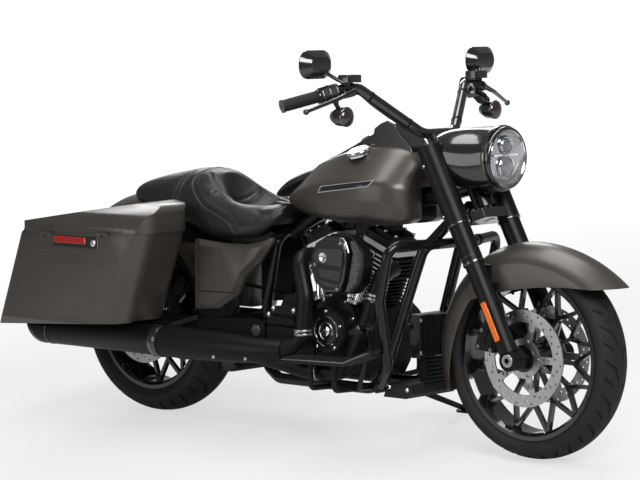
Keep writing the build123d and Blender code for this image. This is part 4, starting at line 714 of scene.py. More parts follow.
# ---------------------------------------------------------------- tyres
def tyre_section(radius, width, bead_r, bead_w, drop):
    """Half section from the crown to the bead: (side, radius, how far down the groove pattern)."""
    half, shoulder = width / 2, width / 2 - 6
    crown_r = (shoulder ** 2 + drop ** 2) / (2 * drop)
    top = radius - crown_r * (1 - math.cos(math.radians(LEAN)))
    crown_r *= math.cos(math.radians(LEAN))
    spread = math.asin(shoulder / crown_r)
    shares = (0, 0.05, 0.09, 0.11, 0.17, 0.24, 0.31, 0.38, 0.46, 0.49, 0.56, 0.64, 0.72, 0.8, 0.88, 0.93,
              0.96, 1)
    crown = [(crown_r * math.sin(spread * s), top - crown_r * (1 - math.cos(spread * s)), s) for s in shares]
    wall_r, bead = bead_r + 0.45 * (radius - bead_r), bead_w / 2 - 7
    edge_r = crown[-1][1]
    wall = [(shoulder + 2.6, edge_r - 0.28 * (edge_r - wall_r)),
            (half - 1.1, edge_r - 0.6 * (edge_r - wall_r)), (half - 0.3, wall_r + 2), (half - 1, wall_r - 4),
            (half - 3.2, wall_r - 9), (half - 3.6, wall_r - 9.6), (half - 6.4, wall_r - 13),
            (bead + 9, bead_r + 15), (bead + 9.4, bead_r + 13), (bead + 5.6, bead_r + 10.6),
            (bead, bead_r + 10)]
    return crown + [(side, r, 1.2) for side, r in wall]


def sheared(share):
    """How far round the tyre a groove has run at a share of the half tread, and how wide it is there."""
    if share <= 0.09:
        return 0, 15
    if share <= 0.31:
        return 40 * (share - 0.09) / 0.22, 15
    return 40 + 34 * (min(share, 1) - 0.31) / 0.69, 8.5


def make_tyre(name, node, centre, radius, width, bead_r, bead_w, drop, pitches):
    """Tyre with two lengths of bent groove in turn on each half, cut into the grid along their run."""
    section = tyre_section(radius, width, bead_r, bead_w, drop)
    around = 2 * math.pi * radius
    pitch = around / pitches
    bm = bmesh.new()
    rows = []
    for side in SIDES:
        for step, (across, r, share) in enumerate(section):
            if side < 0 and step == 0:
                continue
            run, wide = sheared(share)
            row = []
            for turn in range(pitches):
                for place, long_one in ((0, side > 0), (pitch / 2, side < 0)):
                    first, last = (0.1, 0.95) if long_one else (0.47, 0.95)
                    deep = 5 if first < share < last else 0
                    beds = [(-wide / 2 - 0.7, 0), (-wide / 2, deep), (wide / 2, deep), (wide / 2 + 0.7, 0)]
                    rest = pitch / 2 - wide - 1.4
                    beds += [(wide / 2 + 0.7 + rest * k / 5, 0) for k in range(1, 5)]
                    for offset, cut in beds:
                        angle = (turn * pitch + place + offset + run) / radius
                        reach = r - cut
                        row.append(bm.verts.new(centre + Vector((math.cos(angle) * reach, side * across,
                                                                 math.sin(angle) * reach))))
            rows.append((side, step, row))
    ordered = [row for side, step, row in reversed(rows) if side < 0] + [row for side, step, row in rows
            if side > 0]
    bridged(bm, ordered)
    share = (bead_r + 1) / (bead_r + 10)
    inner = [[bm.verts.new((centre.x + (v.co.x - centre.x) * share, v.co.y,
                            centre.z + (v.co.z - centre.z) * share)) for v in row]
             for row in (ordered[0], ordered[-1])]
    for outer, under in ((ordered[0], inner[0]), (inner[1], ordered[-1]), (inner[0], inner[1])):
        for i in range(len(outer)):
            j = (i + 1) % len(outer)
            bm.faces.new([outer[i], under[i], under[j], outer[j]])
    body = frame["nodes"][node]["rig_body"]
    piece = from_bmesh(name, bm, body, tread, 42)
    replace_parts(piece, node)


make_tyre("front_tyre_tread", "front_tyre", FRONT_AXLE, 317, 130, 246, 102, 20, 18)
make_tyre("rear_tyre_tread", "rear_tyre", REAR_AXLE, 324, 180, 234, 138, 32, 18)


# ---------------------------------------------------------------- discs, hubs and axle ends
def cut_out(piece, cutter):
    """Takes one mesh out of another and applies the result."""
    cut = piece.modifiers.new("holes", "BOOLEAN")
    cut.operation = "DIFFERENCE"
    cut.object = cutter
    cut.solver = "EXACT"
    made = bpy.data.meshes.new_from_object(piece.evaluated_get(bpy.context.evaluated_depsgraph_get()))
    piece.modifiers.remove(cut)
    piece.data = made
    bpy.data.objects.remove(cutter)


HOLE_ROWS = (120.5, 130.5, 141)


def drilled_disc(node, centre, sides):
    """The node's disc with three staggered rows of small holes through its band."""
    bm = bmesh.new()
    for y in sides:
        for index in range(45):
            angle = math.radians(index * 8 + 3)
            reach = HOLE_ROWS[index % 3]
            spot = centre + Vector((math.cos(angle) * reach, y, math.sin(angle) * reach))
            lathe(bm, [(0, -8), (3.7, -8), (3.7, 8), (0, 8)], turned(spot, (0, 1, 0)), 8)
    cutter = loose("drill", bm, parked=True)
    piece = loose(node + "_drilled", merged_copy(node))
    cut_out(piece, cutter)
    finished(piece, frame["nodes"][node]["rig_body"], steel, 30)
    bevelled(piece, 0.5, 1)
    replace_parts(piece, node)


drilled_disc("front_discs", FRONT_AXLE, (66, -66))
drilled_disc("rear_disc", REAR_AXLE, (-97,))


front_screws, small_screws, rear_screws = [], [], []
for index in range(5):
    angle = math.radians(72 * index)
    spoke = Vector((math.cos(angle), 0, -math.sin(angle)))
    for side in SIDES:
        front_screws.append((FRONT_AXLE + spoke * 88 + Vector((0, side * 68.4, 0)), (0, side, 0)))
        small_screws.append((FRONT_AXLE + spoke * 55 + Vector((0, side * 68.4, 0)), (0, side, 0)))
    rear_screws.append((REAR_AXLE + spoke * 88 + Vector((0, -99.4, 0)), (0, -1, 0)))
    rear_screws.append((REAR_AXLE + spoke * 92 + Vector((0, 118, 0)), (0, 1, 0)))
set_out("front_disc_buttons", front_screws, socket_screw(10, 4.6), fastener, "front_wheel")
set_out("front_hub_screws", small_screws, socket_screw(6, 4.6), fastener, "front_wheel")
set_out("rear_hub_screws", rear_screws, socket_screw(9, 4.8), fastener, "rear_wheel")

# rims keep their cast shape; valve stems stand on them
for centre, rim_r, body, turn in ((FRONT_AXLE, 246, "front_wheel", 110), (REAR_AXLE, 234, "rear_wheel", 60)):
    bm = bmesh.new()
    angle = math.radians(turn)
    inward = Vector((-math.cos(angle), 0, -math.sin(angle)))
    spot = centre - inward * (rim_r - 15) + Vector((0, -18, 0))
    lathe(bm, [(0, 0), (7, 0), (7, 4), (4, 6), (4, 22), (4.6, 23), (4.6, 32), (0, 33.5)],
          turned(spot, inward + Vector((0, -0.5, 0))), 14)
    from_bmesh(body + "_valve", bm, body, rubber)


# ---------------------------------------------------------------- seat
# heights in mm; seam points given at ABOVE drop onto the cover, the others go to its nearest point
ABOVE = 990
FENDER_HALF = 119.5
# the cover's skin, how far its filling may swell it and its seams, in metres
SKIN_SIZE, QUICK_SKIN_SIZE = 0.0055, 0.007
SWELL = 0.008
SEAM_DEPTH, SEAM_WIDTH, SEAM_PUFF = 0.003, 0.0038, 0.0012
STITCH_BESIDE, STITCH_RISE = 0.0062, 0.0003
PRESSURE = 1.6
CLOTH_STEPS = 20
SEAT_RUN = (
    # x, underside, crest on the middle line, fall of the crest at the sides, half width
    (-52, 742, 778, 6, 80), (-48, 734, 787, 12, 90), (-36, 728, 796, 20, 96),
    (-10, 716, 807, 28, 102),
    (20, 690, 815, 34, 106), (80, 690, 829, 40, 120), (145, 688, 840, 46, 133),
    (205, 672, 850, 50, 145), (255, 658, 855, 52, 155), (290, 648, 854, 56, 162),
    (320, 640, 847, 60, 168), (355, 636, 832, 62, 175), (400, 632, 808, 58, 183),
    (450, 632, 784, 46, 188), (500, 632, 768, 36, 190), (560, 634, 756, 26, 184),
    (590, 638, 756, 24, 177), (620, 650, 758, 20, 164), (650, 674, 760, 16, 142),
    (668, 704, 760, 12, 116),
)
DISH_FLOOR = ((290, 748), (350, 738), (400, 722), (460, 715), (520, 716), (580, 726), (640, 742), (680, 750))
SEAT_SEAMS = (
    # round the bucket, over its back and down the side to the pan
    ((530, -178, 634), (526, -186, 648), (493, -184, 687), (427, -170, 712),
     (355, -152, 733), (310, -140, 762), (267, -118, 800), (256, -92, 826),
     (268, -50, 848), (276, 0, 854)),
    # two seams of the band ahead of the pillion
    ((213, -138, 712), (213, -134, 742), (213, -118, 784), (215, -80, 830), (218, 0, 851)),
    ((190, -132, 716), (190, -130, 742), (191, -116, 782), (192, -78, 826), (194, 0, 847)),
    # inner edge of the roll, and the crease between back rest and floor
    ((300, -66, ABOVE), (330, -82, ABOVE), (365, -90, ABOVE), (410, -97, ABOVE),
     (490, -100, ABOVE), (570, -90, ABOVE), (636, -66, ABOVE)),
    ((348, -90, 742), (350, -45, 736), (352, 0, 734)),
)


def between(table, x, column):
    """Value of a table's column at x, straight between its rows."""
    if x <= table[0][0]:
        return table[0][column]
    for low, high in zip(table, table[1:]):
        if x <= high[0]:
            share = (x - low[0]) / (high[0] - low[0])
            return low[column] + (high[column] - low[column]) * share
    return table[-1][column]


def eased(share):
    share = min(1, max(0, share))
    return share * share * (3 - 2 * share)


def seat_floor(x, y):
    """Lowest height that the cover may reach over the fender and the pan."""
    low = between(SEAT_RUN, x, 1)
    if abs(x) < 439 and abs(y) < FENDER_HALF:
        # crown of the fender, and its round shoulders
        shoulder = 0.9 * (FENDER_HALF - math.sqrt(FENDER_HALF ** 2 - y * y))
        low = max(low, 325.5 + math.sqrt(439.6 ** 2 - x * x) - shoulder)
    if abs(y) < 132 and x > 290:
        low = max(low, 678)
    return low


def seat_top(x, y):
    """Height of the cover: a crowned pillion, a round roll and the dish inside it."""
    crest = between(SEAT_RUN, x, 2) - between(SEAT_RUN, x, 3) * (abs(y) / 150) ** 2.2
    reach = (x - 470) / (178 if x < 470 else 330)
    inside = 1 - eased((math.hypot(reach, y / 122) - 0.44) / 0.56)
    return crest + (min(crest, between(DISH_FLOOR, x, 1) - 6 * (1 - (y / 90) ** 2)) - crest) * inside


def seat_shell():
    """Closed cover, drawn a little slack; its filling swells it."""
    bm = bmesh.new()
    rings = []
    stations = [SEAT_RUN[0][0] + (SEAT_RUN[-1][0] - SEAT_RUN[0][0]) * i / 70 for i in range(71)]
    for x in stations:
        half = between(SEAT_RUN, x, 4) - 4
        side = []
        for k in range(19):
            share = math.sin(math.pi / 2 * k / 18)
            y = half * share
            low = seat_floor(x, y)
            top = seat_top(x, y) - 4
            middle = low + 0.36 * max(6, top - low)
            side.append((y, middle + max(3, top - middle) * (1 - share ** 2.9) ** (1 / 2.3)))
        low = seat_floor(x, half)
        level = side[-1][1]
        side += [(half * (1 - 0.012 * k * k), level + (low + 1 - level) * k / 4) for k in range(1, 5)]
        inner = [(side[-1][0] * share, seat_floor(x, side[-1][0] * share) + 1)
                 for share in (0.92, 0.8, 0.6, 0.3)]
        centre = (0, seat_floor(x, 0) + 1)
        right = side + inner
        ring = [right[0]] + right[1:] + [centre] + [(-y, z) for y, z in reversed(right[1:])]
        rings.append([bm.verts.new((x * MM, y * MM, z * MM)) for y, z in ring])
    for first, second in zip(rings, rings[1:]):
        for i in range(len(first)):
            j = (i + 1) % len(first)
            bm.faces.new([first[i], second[i], second[j], first[j]])
    for ring in (rings[0], rings[-1]):
        bmesh.ops.triangulate(bm, faces=[bm.faces.new(ring)])
    return loose("seat_shell", bm)


def remeshed(piece, size):
    """One even skin of small faces, applied."""
    skin = piece.modifiers.new("skin", "REMESH")
    skin.mode = "VOXEL"
    skin.voxel_size = size
    even = piece.modifiers.new("even", "SMOOTH")
    even.factor, even.iterations = 0.5, 6
    mesh = bpy.data.meshes.new_from_object(piece.evaluated_get(bpy.context.evaluated_depsgraph_get()))
    piece.modifiers.clear()
    piece.data = mesh


def filled(piece, held):
    """Swells a skin by its filling with the cloth solver; no point moves further than SWELL."""
    rest = [v.co.copy() for v in piece.data.vertices]
    group = piece.vertex_groups.new(name="held")
    group.add([v.index for v in piece.data.vertices if held(v.co)], 1, "REPLACE")
    cloth = piece.modifiers.new("filling", "CLOTH")
    cloth.settings.quality = 5
    cloth.settings.mass = 0.3
    cloth.settings.use_pressure = True
    cloth.settings.uniform_pressure_force = PRESSURE
    cloth.settings.effector_weights.gravity = 0
    cloth.settings.vertex_group_mass = "held"
    cloth.collision_settings.use_collision = False
    for step in range(1, CLOTH_STEPS + 1):
        bpy.context.scene.frame_set(step)
    swollen = piece.evaluated_get(bpy.context.evaluated_depsgraph_get())
    places = [v.co.copy() for v in swollen.data.vertices]
    piece.modifiers.clear()
    piece.vertex_groups.clear()
    bpy.context.scene.frame_set(1)
    for vertex, first, last in zip(piece.data.vertices, rest, places):
        move = last - first
        if move.length > SWELL:
            move *= SWELL / move.length
        vertex.co = first + move


def sewn(mesh, seams):
    """Draws the cover in along seams and lets it swell a little beside them."""
    points = [point for seam in seams for point in seam]
    tree = mathutils.kdtree.KDTree(len(points))
    for i, point in enumerate(points):
        tree.insert(point, i)
    tree.balance()
    mesh.update()
    normals = [v.normal.copy() for v in mesh.vertices]
    for vertex, normal in zip(mesh.vertices, normals):
        distance = tree.find(vertex.co)[2]
        if distance < 8 * SEAM_WIDTH:
            share = distance / SEAM_WIDTH
            swollen = SEAM_PUFF * math.exp(-((share - 3.4) / 1.6) ** 2)
            vertex.co += normal * (swollen - SEAM_DEPTH * math.exp(-share * share))


def make_seat():
    piece = seat_shell()
    remeshed(piece, SKIN_SIZE)
    filled(piece, lambda co: co.z < (seat_floor(co.x / MM, co.y / MM) + 6) * MM)
    for vertex in piece.data.vertices:
        low = (seat_floor(vertex.co.x / MM, vertex.co.y / MM) + 0.8) * MM
        vertex.co.z = max(vertex.co.z, low)
    bm = bmesh.new()
    bm.from_mesh(piece.data)
    for again in range(7):
        bmesh.ops.smooth_vert(bm, verts=bm.verts, factor=0.5, use_axis_x=True, use_axis_y=True,
                              use_axis_z=True)
    bmesh.ops.subdivide_edges(bm, edges=bm.edges, cuts=1, use_grid_fill=True, smooth=0.6)
    surface = mathutils.bvhtree.BVHTree.FromBMesh(bm)
    seams = []
    for seam in SEAT_SEAMS:
        for flip in SIDES:
            run = [Vector((x, y * flip, z)) for x, y, z in curve_through(seam, 16)]
            seams.append([surface.ray_cast(spot * MM, DOWN)[0] if spot.z > ABOVE - 9
                          else surface.find_nearest(spot * MM)[0] for spot in run])
    bm.to_mesh(piece.data)
    bm.free()
    dense = [[a.lerp(b, k / 6) for a, b in zip(run, run[1:]) for k in range(6)] for run in seams]
    sewn(piece.data, dense)
    stitched = mathutils.bvhtree.BVHTree.FromPolygons([v.co.copy() for v in piece.data.vertices],
                                                      [tuple(p.vertices) for p in piece.data.polygons])
    rows = []
    for run in seams[:6]:
        row = []
        for before, point, after in zip(run, run[1:], run[2:]):
            along = (after - before).normalized()
            spot, normal = stitched.find_nearest(point)[:2]
            beside = along.cross(normal).normalized() * STITCH_BESIDE
            spot, normal = stitched.find_nearest(point + beside)[:2]
            row.append((spot + normal * STITCH_RISE) / MM)
        rows.append(row)
    piece.data.transform(STOOD)
    piece.name = "seat_cover"
    finished(piece, "chassis", leather, 180)
    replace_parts(piece, "seat")
    run_along("seat_stitches", rows, shape("stitch", [(0, -2.3), (0.55, -1.9), (0.62, 0), (0.55, 1.9),
                                                      (0, 2.3)], 6, turned((0, 0, 0), (1, 0, 0))), 6.2,
              thread, "chassis")


make_seat()


# ---------------------------------------------------------------- headlamp
# height above the lamp's axis, radius and reach of each projector
PROJECTORS = ((40, 24, 15), (-25, 33, 17.5))


def lamp_place(level=0):
    return turned((1497.3, 0, 921.5 + level), (1, 0, 0))


def make_headlamp():
    place = lamp_place()
    bm = bmesh.new()
    lathe(bm, [(88.3, 0), (97.4, 0), (97.9, 8), (96.9, 12.4), (93.8, 15.4), (90.2, 16.8), (88.6, 16.2),
               (88.3, 0)], place, 96)
    rim = from_bmesh("headlamp_rim", bm, "steering", gloss_black)
    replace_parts(rim, "headlamp")
    lathed("headlamp_band", "steering", chrome, ([(82, 9.5), (88.2, 9.5), (88.2, 15.2), (86.6, 16.4),
                                                  (83.6, 14.2), (82, 9.5)], place, 96))
    bm = bmesh.new()
    lathe(bm, [(84, 10.2), (80, 7), (72, 4.2), (60, 2.6), (0, 1.6), (0, 0.4), (84, 0.4),
               (84, 10.2)], place, 72)
    for level, radius, reach in PROJECTORS:
        lathe(bm, [(radius + 7, 2), (radius + 6, 6.5), (radius + 3.4, 7.6), (radius + 2.6, 3)],
              lamp_place(level), 48)
    from_bmesh("headlamp_bowl", bm, "steering", reflector)
    bm = bmesh.new()
    for level, radius, reach in PROJECTORS:
        spot = lamp_place(level)
        lathe(bm, [(radius + 2.6, 2), (radius + 2.6, 9), (radius + 1.2, 10.6), (radius - 1, 9.4),
                   (radius - 1.4, 6)], spot, 48)
    block(bm, Matrix.Translation((1502.5, 0, 931)), (3, 118, 5))
    from_bmesh("projector_barrels", bm, "steering", chrome)
    bm = bmesh.new()
    for level, radius, reach in PROJECTORS:
        spot = lamp_place(level)
        lathe(bm, [(radius - 1, 3), (radius - 1.6, 7.5), (radius * 0.8, reach * 0.72),
                   (radius * 0.45, reach * 0.93), (0, reach), ], spot, 48)
        lathe(bm, [(0, 2.6), (radius - 1, 3)], spot, 48)
    from_bmesh("projector_lenses", bm, "steering", projector)
    lathed("headlamp_glass", "steering", lens, ([(0, 29.4), (20, 28.4), (43, 24.6), (60, 20.6), (75, 14.8),
                                                 (82, 11.4), (84.4, 12), (77, 17), (60, 23), (43, 27),
                                                 (20, 30.8), (0, 31.8)], place, 96))
    # visor band where the nacelle meets the lamp
    lathed("nacelle_band", "steering", dark_chrome, ([(96, -15), (101.9, -15), (102.6, -12), (102.2, -1.4),
                                                      (100.6, -0.6), (96, -0.6), (96, -15)], place, 96))


make_headlamp()


# ---------------------------------------------------------------- fork and front brake
def fork_at(level, side=1):
    return Vector((WHEELBASE - (level - 317) * math.tan(math.radians(FORK_RAKE)), side * FORK_Y, level))


fork_screws, brake_screws = [], []
for side in SIDES:
    for level in (905, 752):
        out = Vector((-math.cos(math.radians(FORK_RAKE)) * 0.55, side * 0.835, -0.25)).normalized()
        fork_screws.append((fork_at(level, side) + out * 37, out))
    for angle, radius in ((132, 112), (132, 160), (151, 163), (170, 112), (170, 160)):
        a = math.radians(angle)
        brake_screws.append((FRONT_AXLE + Vector((radius * math.cos(a), side * 89.6, radius * math.sin(a))),
                             (0, side, 0)))
set_out("fork_cover_screws", fork_screws, socket_screw(7, 4.5), fastener, "steering")
set_out("brake_screws", brake_screws, socket_screw(6.2, 5), fastener, "steering")
bm = bmesh.new()
for side in SIDES:
    # raised rib and pad cover of each caliper
    for start, end, low, high, rise in ((136, 166, 108, 128, 5.5), (138, 164, 140, 156, 4.5)):
        steps = 12
        outline = [(r * math.cos(math.radians(a)), r * math.sin(math.radians(a)))
                   for r, angles in ((low, [start + (end - start) * k / steps for k in range(steps + 1)]),
                                     (high, [end - (end - start) * k / steps for k in range(steps + 1)]))
                   for a in angles]
        place = facing_right(*(FRONT_AXLE + Vector((0, side * 89, 0))))
        plate(bm, outline, place, -rise if side > 0 else rise)
bevelled(from_bmesh("caliper_ribs", bm, "steering", satin_black), 1.6)
bm = bmesh.new()
for side in SIDES:
    # the clamp of the axle and its collar
    lathe(bm, [(20, 0), (20, 3.4), (18.6, 4.6), (13, 4.6), (12, 3.6), (12, 0)],
          turned((WHEELBASE, side * 146, 317), (0, side, 0)), 40)
from_bmesh("axle_collars", bm, "steering", alloy)
bm = bmesh.new()
for side in SIDES:
    along = fork_up
    frame_m = Matrix(((along.x, along.z * side, 0, 0), (0, 0, side, 0), (along.z, -along.x * side, 0, 0),
                      (0, 0, 0, 1)))
    spot = Matrix.Translation(fork_at(433, side) + Vector((0, side * 29, 0))) @ frame_m
    plate(bm, rounded(128, 19, 4), spot, 4.2)
# the amber reflectors glow faintly: painted light standing in for reflected light
bevelled(from_bmesh("fork_reflectors", bm, "steering", amber_painted_glow), 1.2)
bm = bmesh.new()
for side in SIDES:
    for level, radius, height in ((601, 34.6, 9), (716, 38.4, 6), (622, 34.2, 3)):
        spot = turned(fork_at(level, side), fork_up)
        lathe(bm, [(29, 0), (radius - 1.2, 0), (radius, 1.4), (radius, height - 1.4), (radius - 1.2, height),
                   (29, height)], spot, 48)
from_bmesh("fork_rings", bm, "steering", gloss_black)


# ---------------------------------------------------------------- bars and controls
# distance of the reservoirs from the outer end of the bar
RESERVOIR = 215
BAR = [Vector((1236, 76, 992)), Vector((1125, 268, 1144)), Vector((1020, 482, 1087))]
grip_run = (BAR[2] - BAR[1]).normalized()


def on_bar(distance, side=1, up=0, ahead=0):
    spot = BAR[2] - grip_run * distance
    return Vector((spot.x + ahead, side * spot.y, spot.z + up))


def signal_place(side):
    return turned((1148, side * 365, 1053), (1, 0, 0))


def mirrored(vector, side):
    return Vector((vector.x, side * vector.y, vector.z))


def mirror_face(x, side):
    """Matrix with Z backwards at the middle of a mirror."""
    return Matrix(((0, 0, -1, x), (1, 0, 0, side * 403), (0, 1, 0, 1212.5), (0, 0, 0, 1)))


bm = bmesh.new()
for side in SIDES:
    for k in range(17):
        lathe(bm, [(18.2, -1.5), (19.3, -1), (19.3, 1), (18.2, 1.5)],
              turned(on_bar(10 + 6.2 * k, side), mirrored(grip_run, side)), 32)
from_bmesh("grip_ribs", bm, "steering", rubber, 30)
bm = bmesh.new()
for side in SIDES:
    # round end of each grip, and the collar next to the switches
    lathe(bm, [(20.2, -2), (20.6, 0), (19.4, 1.2), (6, 1.4), (5, 0.6), (0, 0.6)],
          turned(on_bar(-7.4, side), mirrored(grip_run, side)), 36)
    lathe(bm, [(18, -2), (22.4, -1.6), (22.8, 0), (22.4, 1.6), (18, 2)],
          turned(on_bar(117, side), mirrored(grip_run, side)), 36)
from_bmesh("grip_ends", bm, "steering", dark_chrome)
bm = bmesh.new()
for side in SIDES:
    # seam of the two-part housing, then its buttons
    for distance, up, ahead, size in ((134, 2, -29, (7, 16, 10)), (152, 8, -29, (7, 12, 9)),
                                      (152, -8, -29, (7, 12, 7)), (168, 0, -29, (6, 9, 14))):
        block(bm, Matrix.Translation(on_bar(distance, side, up, ahead)), size)
    block(bm, Matrix.Translation(on_bar(150, side, 24.5, 4)), (20, 14, 5))
bevelled(from_bmesh("switch_buttons", bm, "steering", rubber), 1.4)
bm = bmesh.new()
for side in SIDES:
    spot = on_bar(150, side)
    away = mirrored(grip_run, side)
    across = Vector((1, 0, 0.4)) - away * Vector((1, 0, 0.4)).dot(away)
    across.normalize()
    rise = away.cross(across).normalized()
    frame_m = Matrix(((across.x, rise.x, away.x, spot.x), (across.y, rise.y, away.y, spot.y),
                      (across.z, rise.z, away.z, spot.z), (0, 0, 0, 1)))
    outer, inner = rounded(56.8, 46.8, 14.4, 5), rounded(54, 44, 13.4, 5)
    for z in (-24, 0, 24):
        banded(bm, frame_m, ((inner, z - 1), (outer, z - 0.8), (outer, z + 0.8), (inner, z + 1)))
from_bmesh("switch_seams", bm, "steering", dark_chrome)
bar_screws = []
for side in SIDES:
    inner = on_bar(RESERVOIR, side)
    for dx, dy in ((-18, -23), (18, -23), (-18, 23), (18, 23)):
        bar_screws.append((inner + Vector((26 + dx, side * 16 + dy, 41.8)), (0, 0, 1)))
set_out("reservoir_screws", bar_screws, socket_screw(3.2, 1.8), fastener, "steering")
bm = bmesh.new()
for side in SIDES:
    inner = on_bar(RESERVOIR, side)
    plate(bm, rounded(48, 58, 9), Matrix.Translation(inner + Vector((26, side * 16, 41.9))), 1.3)
bevelled(from_bmesh("reservoir_lids", bm, "steering", satin_black), 0.6)
bm = bmesh.new()
clip_bm = bmesh.new()
for side in SIDES:
    line = [on_bar(206, side, -21.5, 2), on_bar(224, side, -22.5, 2),
            mirrored(BAR[1] + Vector((3, -9, -24)), side), mirrored(BAR[1].lerp(BAR[0], 0.3)
            + Vector((-4, 4, -19)), side), mirrored(BAR[1].lerp(BAR[0], 0.7) + Vector((-5, 6, -17.5)), side),
            mirrored(BAR[0] + Vector((-3, 2, -12)), side)]
    for offset in (Vector((0, 0, 0)), Vector((7, 0, -2))):
        tube(bm, curve_through([p + offset for p in line], 8), 3.4, 12)
    for share in (0.22, 0.78):
        spot = mirrored(BAR[1].lerp(BAR[0], share), side)
        lathe(clip_bm, [(15.9, -4), (17.2, -3.6), (17.2, 3.6), (15.9, 4)],
              turned(spot, mirrored(BAR[0] - BAR[1], side)), 36)
from_bmesh("bar_lines", bm, "steering", rubber)
from_bmesh("bar_clips", clip_bm, "steering", satin_black)
lathed("riser_collars", "steering", dark_chrome,
       *(([(17, 0), (19.6, 0.8), (19.6, 7), (17, 8)], turned((1258.6, side * 42, 951.5), (-22, 0, 40)), 40)
         for side in SIDES))
bm = bmesh.new()
for side in SIDES:
    plate(bm, rounded(136, 78, 35, 10), mirror_face(1077.6, side), 1.2)
from_bmesh("mirror_glass", bm, "steering", mirror)
bm = bmesh.new()
for side in SIDES:
    wide, narrow = rounded(146, 88, 40, 10), rounded(137, 79, 35.5, 10)
    banded(bm, mirror_face(1078, side), ((wide, -1), (wide, 1.4), (narrow, 2.4), (narrow, 0.4)))
from_bmesh("mirror_rims", bm, "steering", gloss_black)
lathed("front_signal_lenses", "steering", smoked, *(([(28.2, 25), (28.4, 27.4), (26, 31), (20, 34.4),
                                                      (10, 36.8), (0, 37.6)], signal_place(side), 40)
                                                    for side in SIDES))
lathed("front_signal_rims", "steering", dark_chrome, *(([(28.4, 22), (30.6, 22.4), (30.9, 26), (29.6, 28.4),
                                                         (28.2, 28)], signal_place(side), 40)
                                                       for side in SIDES))

# ---------------------------------------------------------------- brackets
bm = bmesh.new()
for side in SIDES:
    for level, ahead, height in ((578, 0, 44), (536, 6, 20)):
        spot = fork_at(level, side)
        block(bm, Matrix.Translation((spot.x + ahead, side * 91.5, level)), (50, 14, height))
    for x, z in ((1530, 432), (1550, 400)):
        block(bm, Matrix.Translation((x, side * 97, z)), (46, 26, 13))
    tube(bm, curve_through([(1143, side * 365, 1074), (1134, side * 368, 1092),
                            on_bar(178, side, -10, 8)], 6), 6.5, 14)
bevelled(from_bmesh("fork_brackets", bm, "steering", satin_black), 2)


# ---------------------------------------------------------------- engine
# heights along a cylinder's axis from the crank
BARREL_FOOT = 138
HEAD_FOOT = 238
ROCKER_FOOT = HEAD_FOOT + 74


def on_cylinder(sign, along, out=0, y=0):
    """Point of a cylinder's axis, the rear (-1) or the front (1) one, from the crank."""
    return CRANK + Vector((sign * (along * math.sin(V_HALF) + out * math.cos(V_HALF)), y,
                           along * math.cos(V_HALF) - out * math.sin(V_HALF)))


def cylinder_frame(sign, along):
    """Matrix with X across the cylinder to its outer side, Y across the motorcycle and Z up its axis."""
    spot = on_cylinder(sign, along)
    up = Vector((sign * math.sin(V_HALF), 0, math.cos(V_HALF)))
    across = Vector((math.cos(V_HALF), 0, -sign * math.sin(V_HALF)))
    side = up.cross(across)
    return Matrix(((across.x, side.x, up.x, spot.x), (across.y, side.y, up.y, spot.y),
                   (across.z, side.z, up.z, spot.z), (0, 0, 0, 1)))


def cut_corners(length, width, corner):
    a, b = length / 2, width / 2
    return [(a - corner, -b), (a, -b + corner), (a, b - corner), (a - corner, b), (-a + corner, b),
            (-a, b - corner), (-a, -b + corner), (-a + corner, -b)]


FIN_SIDES = (7, 0, 6, 3, 2, 4)


def fin_edges(bm, sign, along, length, width, corner, thick):
    """Bright machined band along the sides and cut corners of one fin."""
    outer, inner = cut_corners(length + 0.5, width + 0.5, corner), cut_corners(length - 4, width - 4, corner)
    banded(bm, cylinder_frame(sign, along), ((inner, -0.15), (outer, -0.15), (outer, thick + 0.15),
                                             (inner, thick + 0.15)), FIN_SIDES)


bm = bmesh.new()
for sign in (-1, 1):
    for index in range(8):
        fin_edges(bm, sign, BARREL_FOOT + 5 + index * 12.5, 150, 156, 34, 3.5)
    for index in range(5):
        fin_edges(bm, sign, HEAD_FOOT + 3 + index * 14.5, 176, 170, 30, 4.5)
from_bmesh("fin_edges", bm, "chassis", machined)
bm = bmesh.new()
for sign in (-1, 1):
    # machined band along the foot of each rocker cover
    outer, inner = rounded(151.6, 139.6, 26.6), rounded(146, 134, 24)
    banded(bm, cylinder_frame(sign, ROCKER_FOOT + 1), ((inner, -0.4), (outer, -0.2), (outer, 15),
                                                       (inner, 15.8)))
from_bmesh("rocker_bands", bm, "chassis", machined)
rocker_screws = []
for sign in (-1, 1):
    place = cylinder_frame(sign, ROCKER_FOOT + 58.5)
    up = (place.to_3x3() @ Vector((0, 0, 1)))
    for x, y in ((-42, -44), (0, -48), (42, -44), (-42, 44), (0, 48), (42, 44)):
        rocker_screws.append((place @ Vector((x, y, 0)), up))
set_out("rocker_screws", rocker_screws, socket_screw(6, 4.4), chrome, "chassis")

bm = bmesh.new()
for sign in (-1, 1):
    for spread in (-20, 20):
        # spring-cap collar and tappet block at the foot of each pushrod tube
        foot = CRANK + Vector((sign * 62 + spread * 0.7, -118, 137 - abs(sign * 62 + spread * 0.7) * 0.35))
        head = on_cylinder(sign, 308, spread, -100)
        run = (head - foot).normalized()
        for start, radius, height in ((13, 15, 7), (56, 14.6, 6), (62, 11.6, 5)):
            lathe(bm, [(8.6, 0), (radius - 1, 0), (radius, 1.2), (radius, height - 1.2),
                       (radius - 1, height), (8.6, height)], turned(foot + run * start, run), 28)
    spot = CRANK + Vector((sign * 62, -112, 102))
    run = (on_cylinder(sign, 308, 0, -100) - spot).normalized()
    plate(bm, rounded(40, 62, 9), turned(spot + run * 14, run, 90), 12)
bevelled(from_bmesh("tappet_blocks", bm, "chassis", chrome), 1.5)

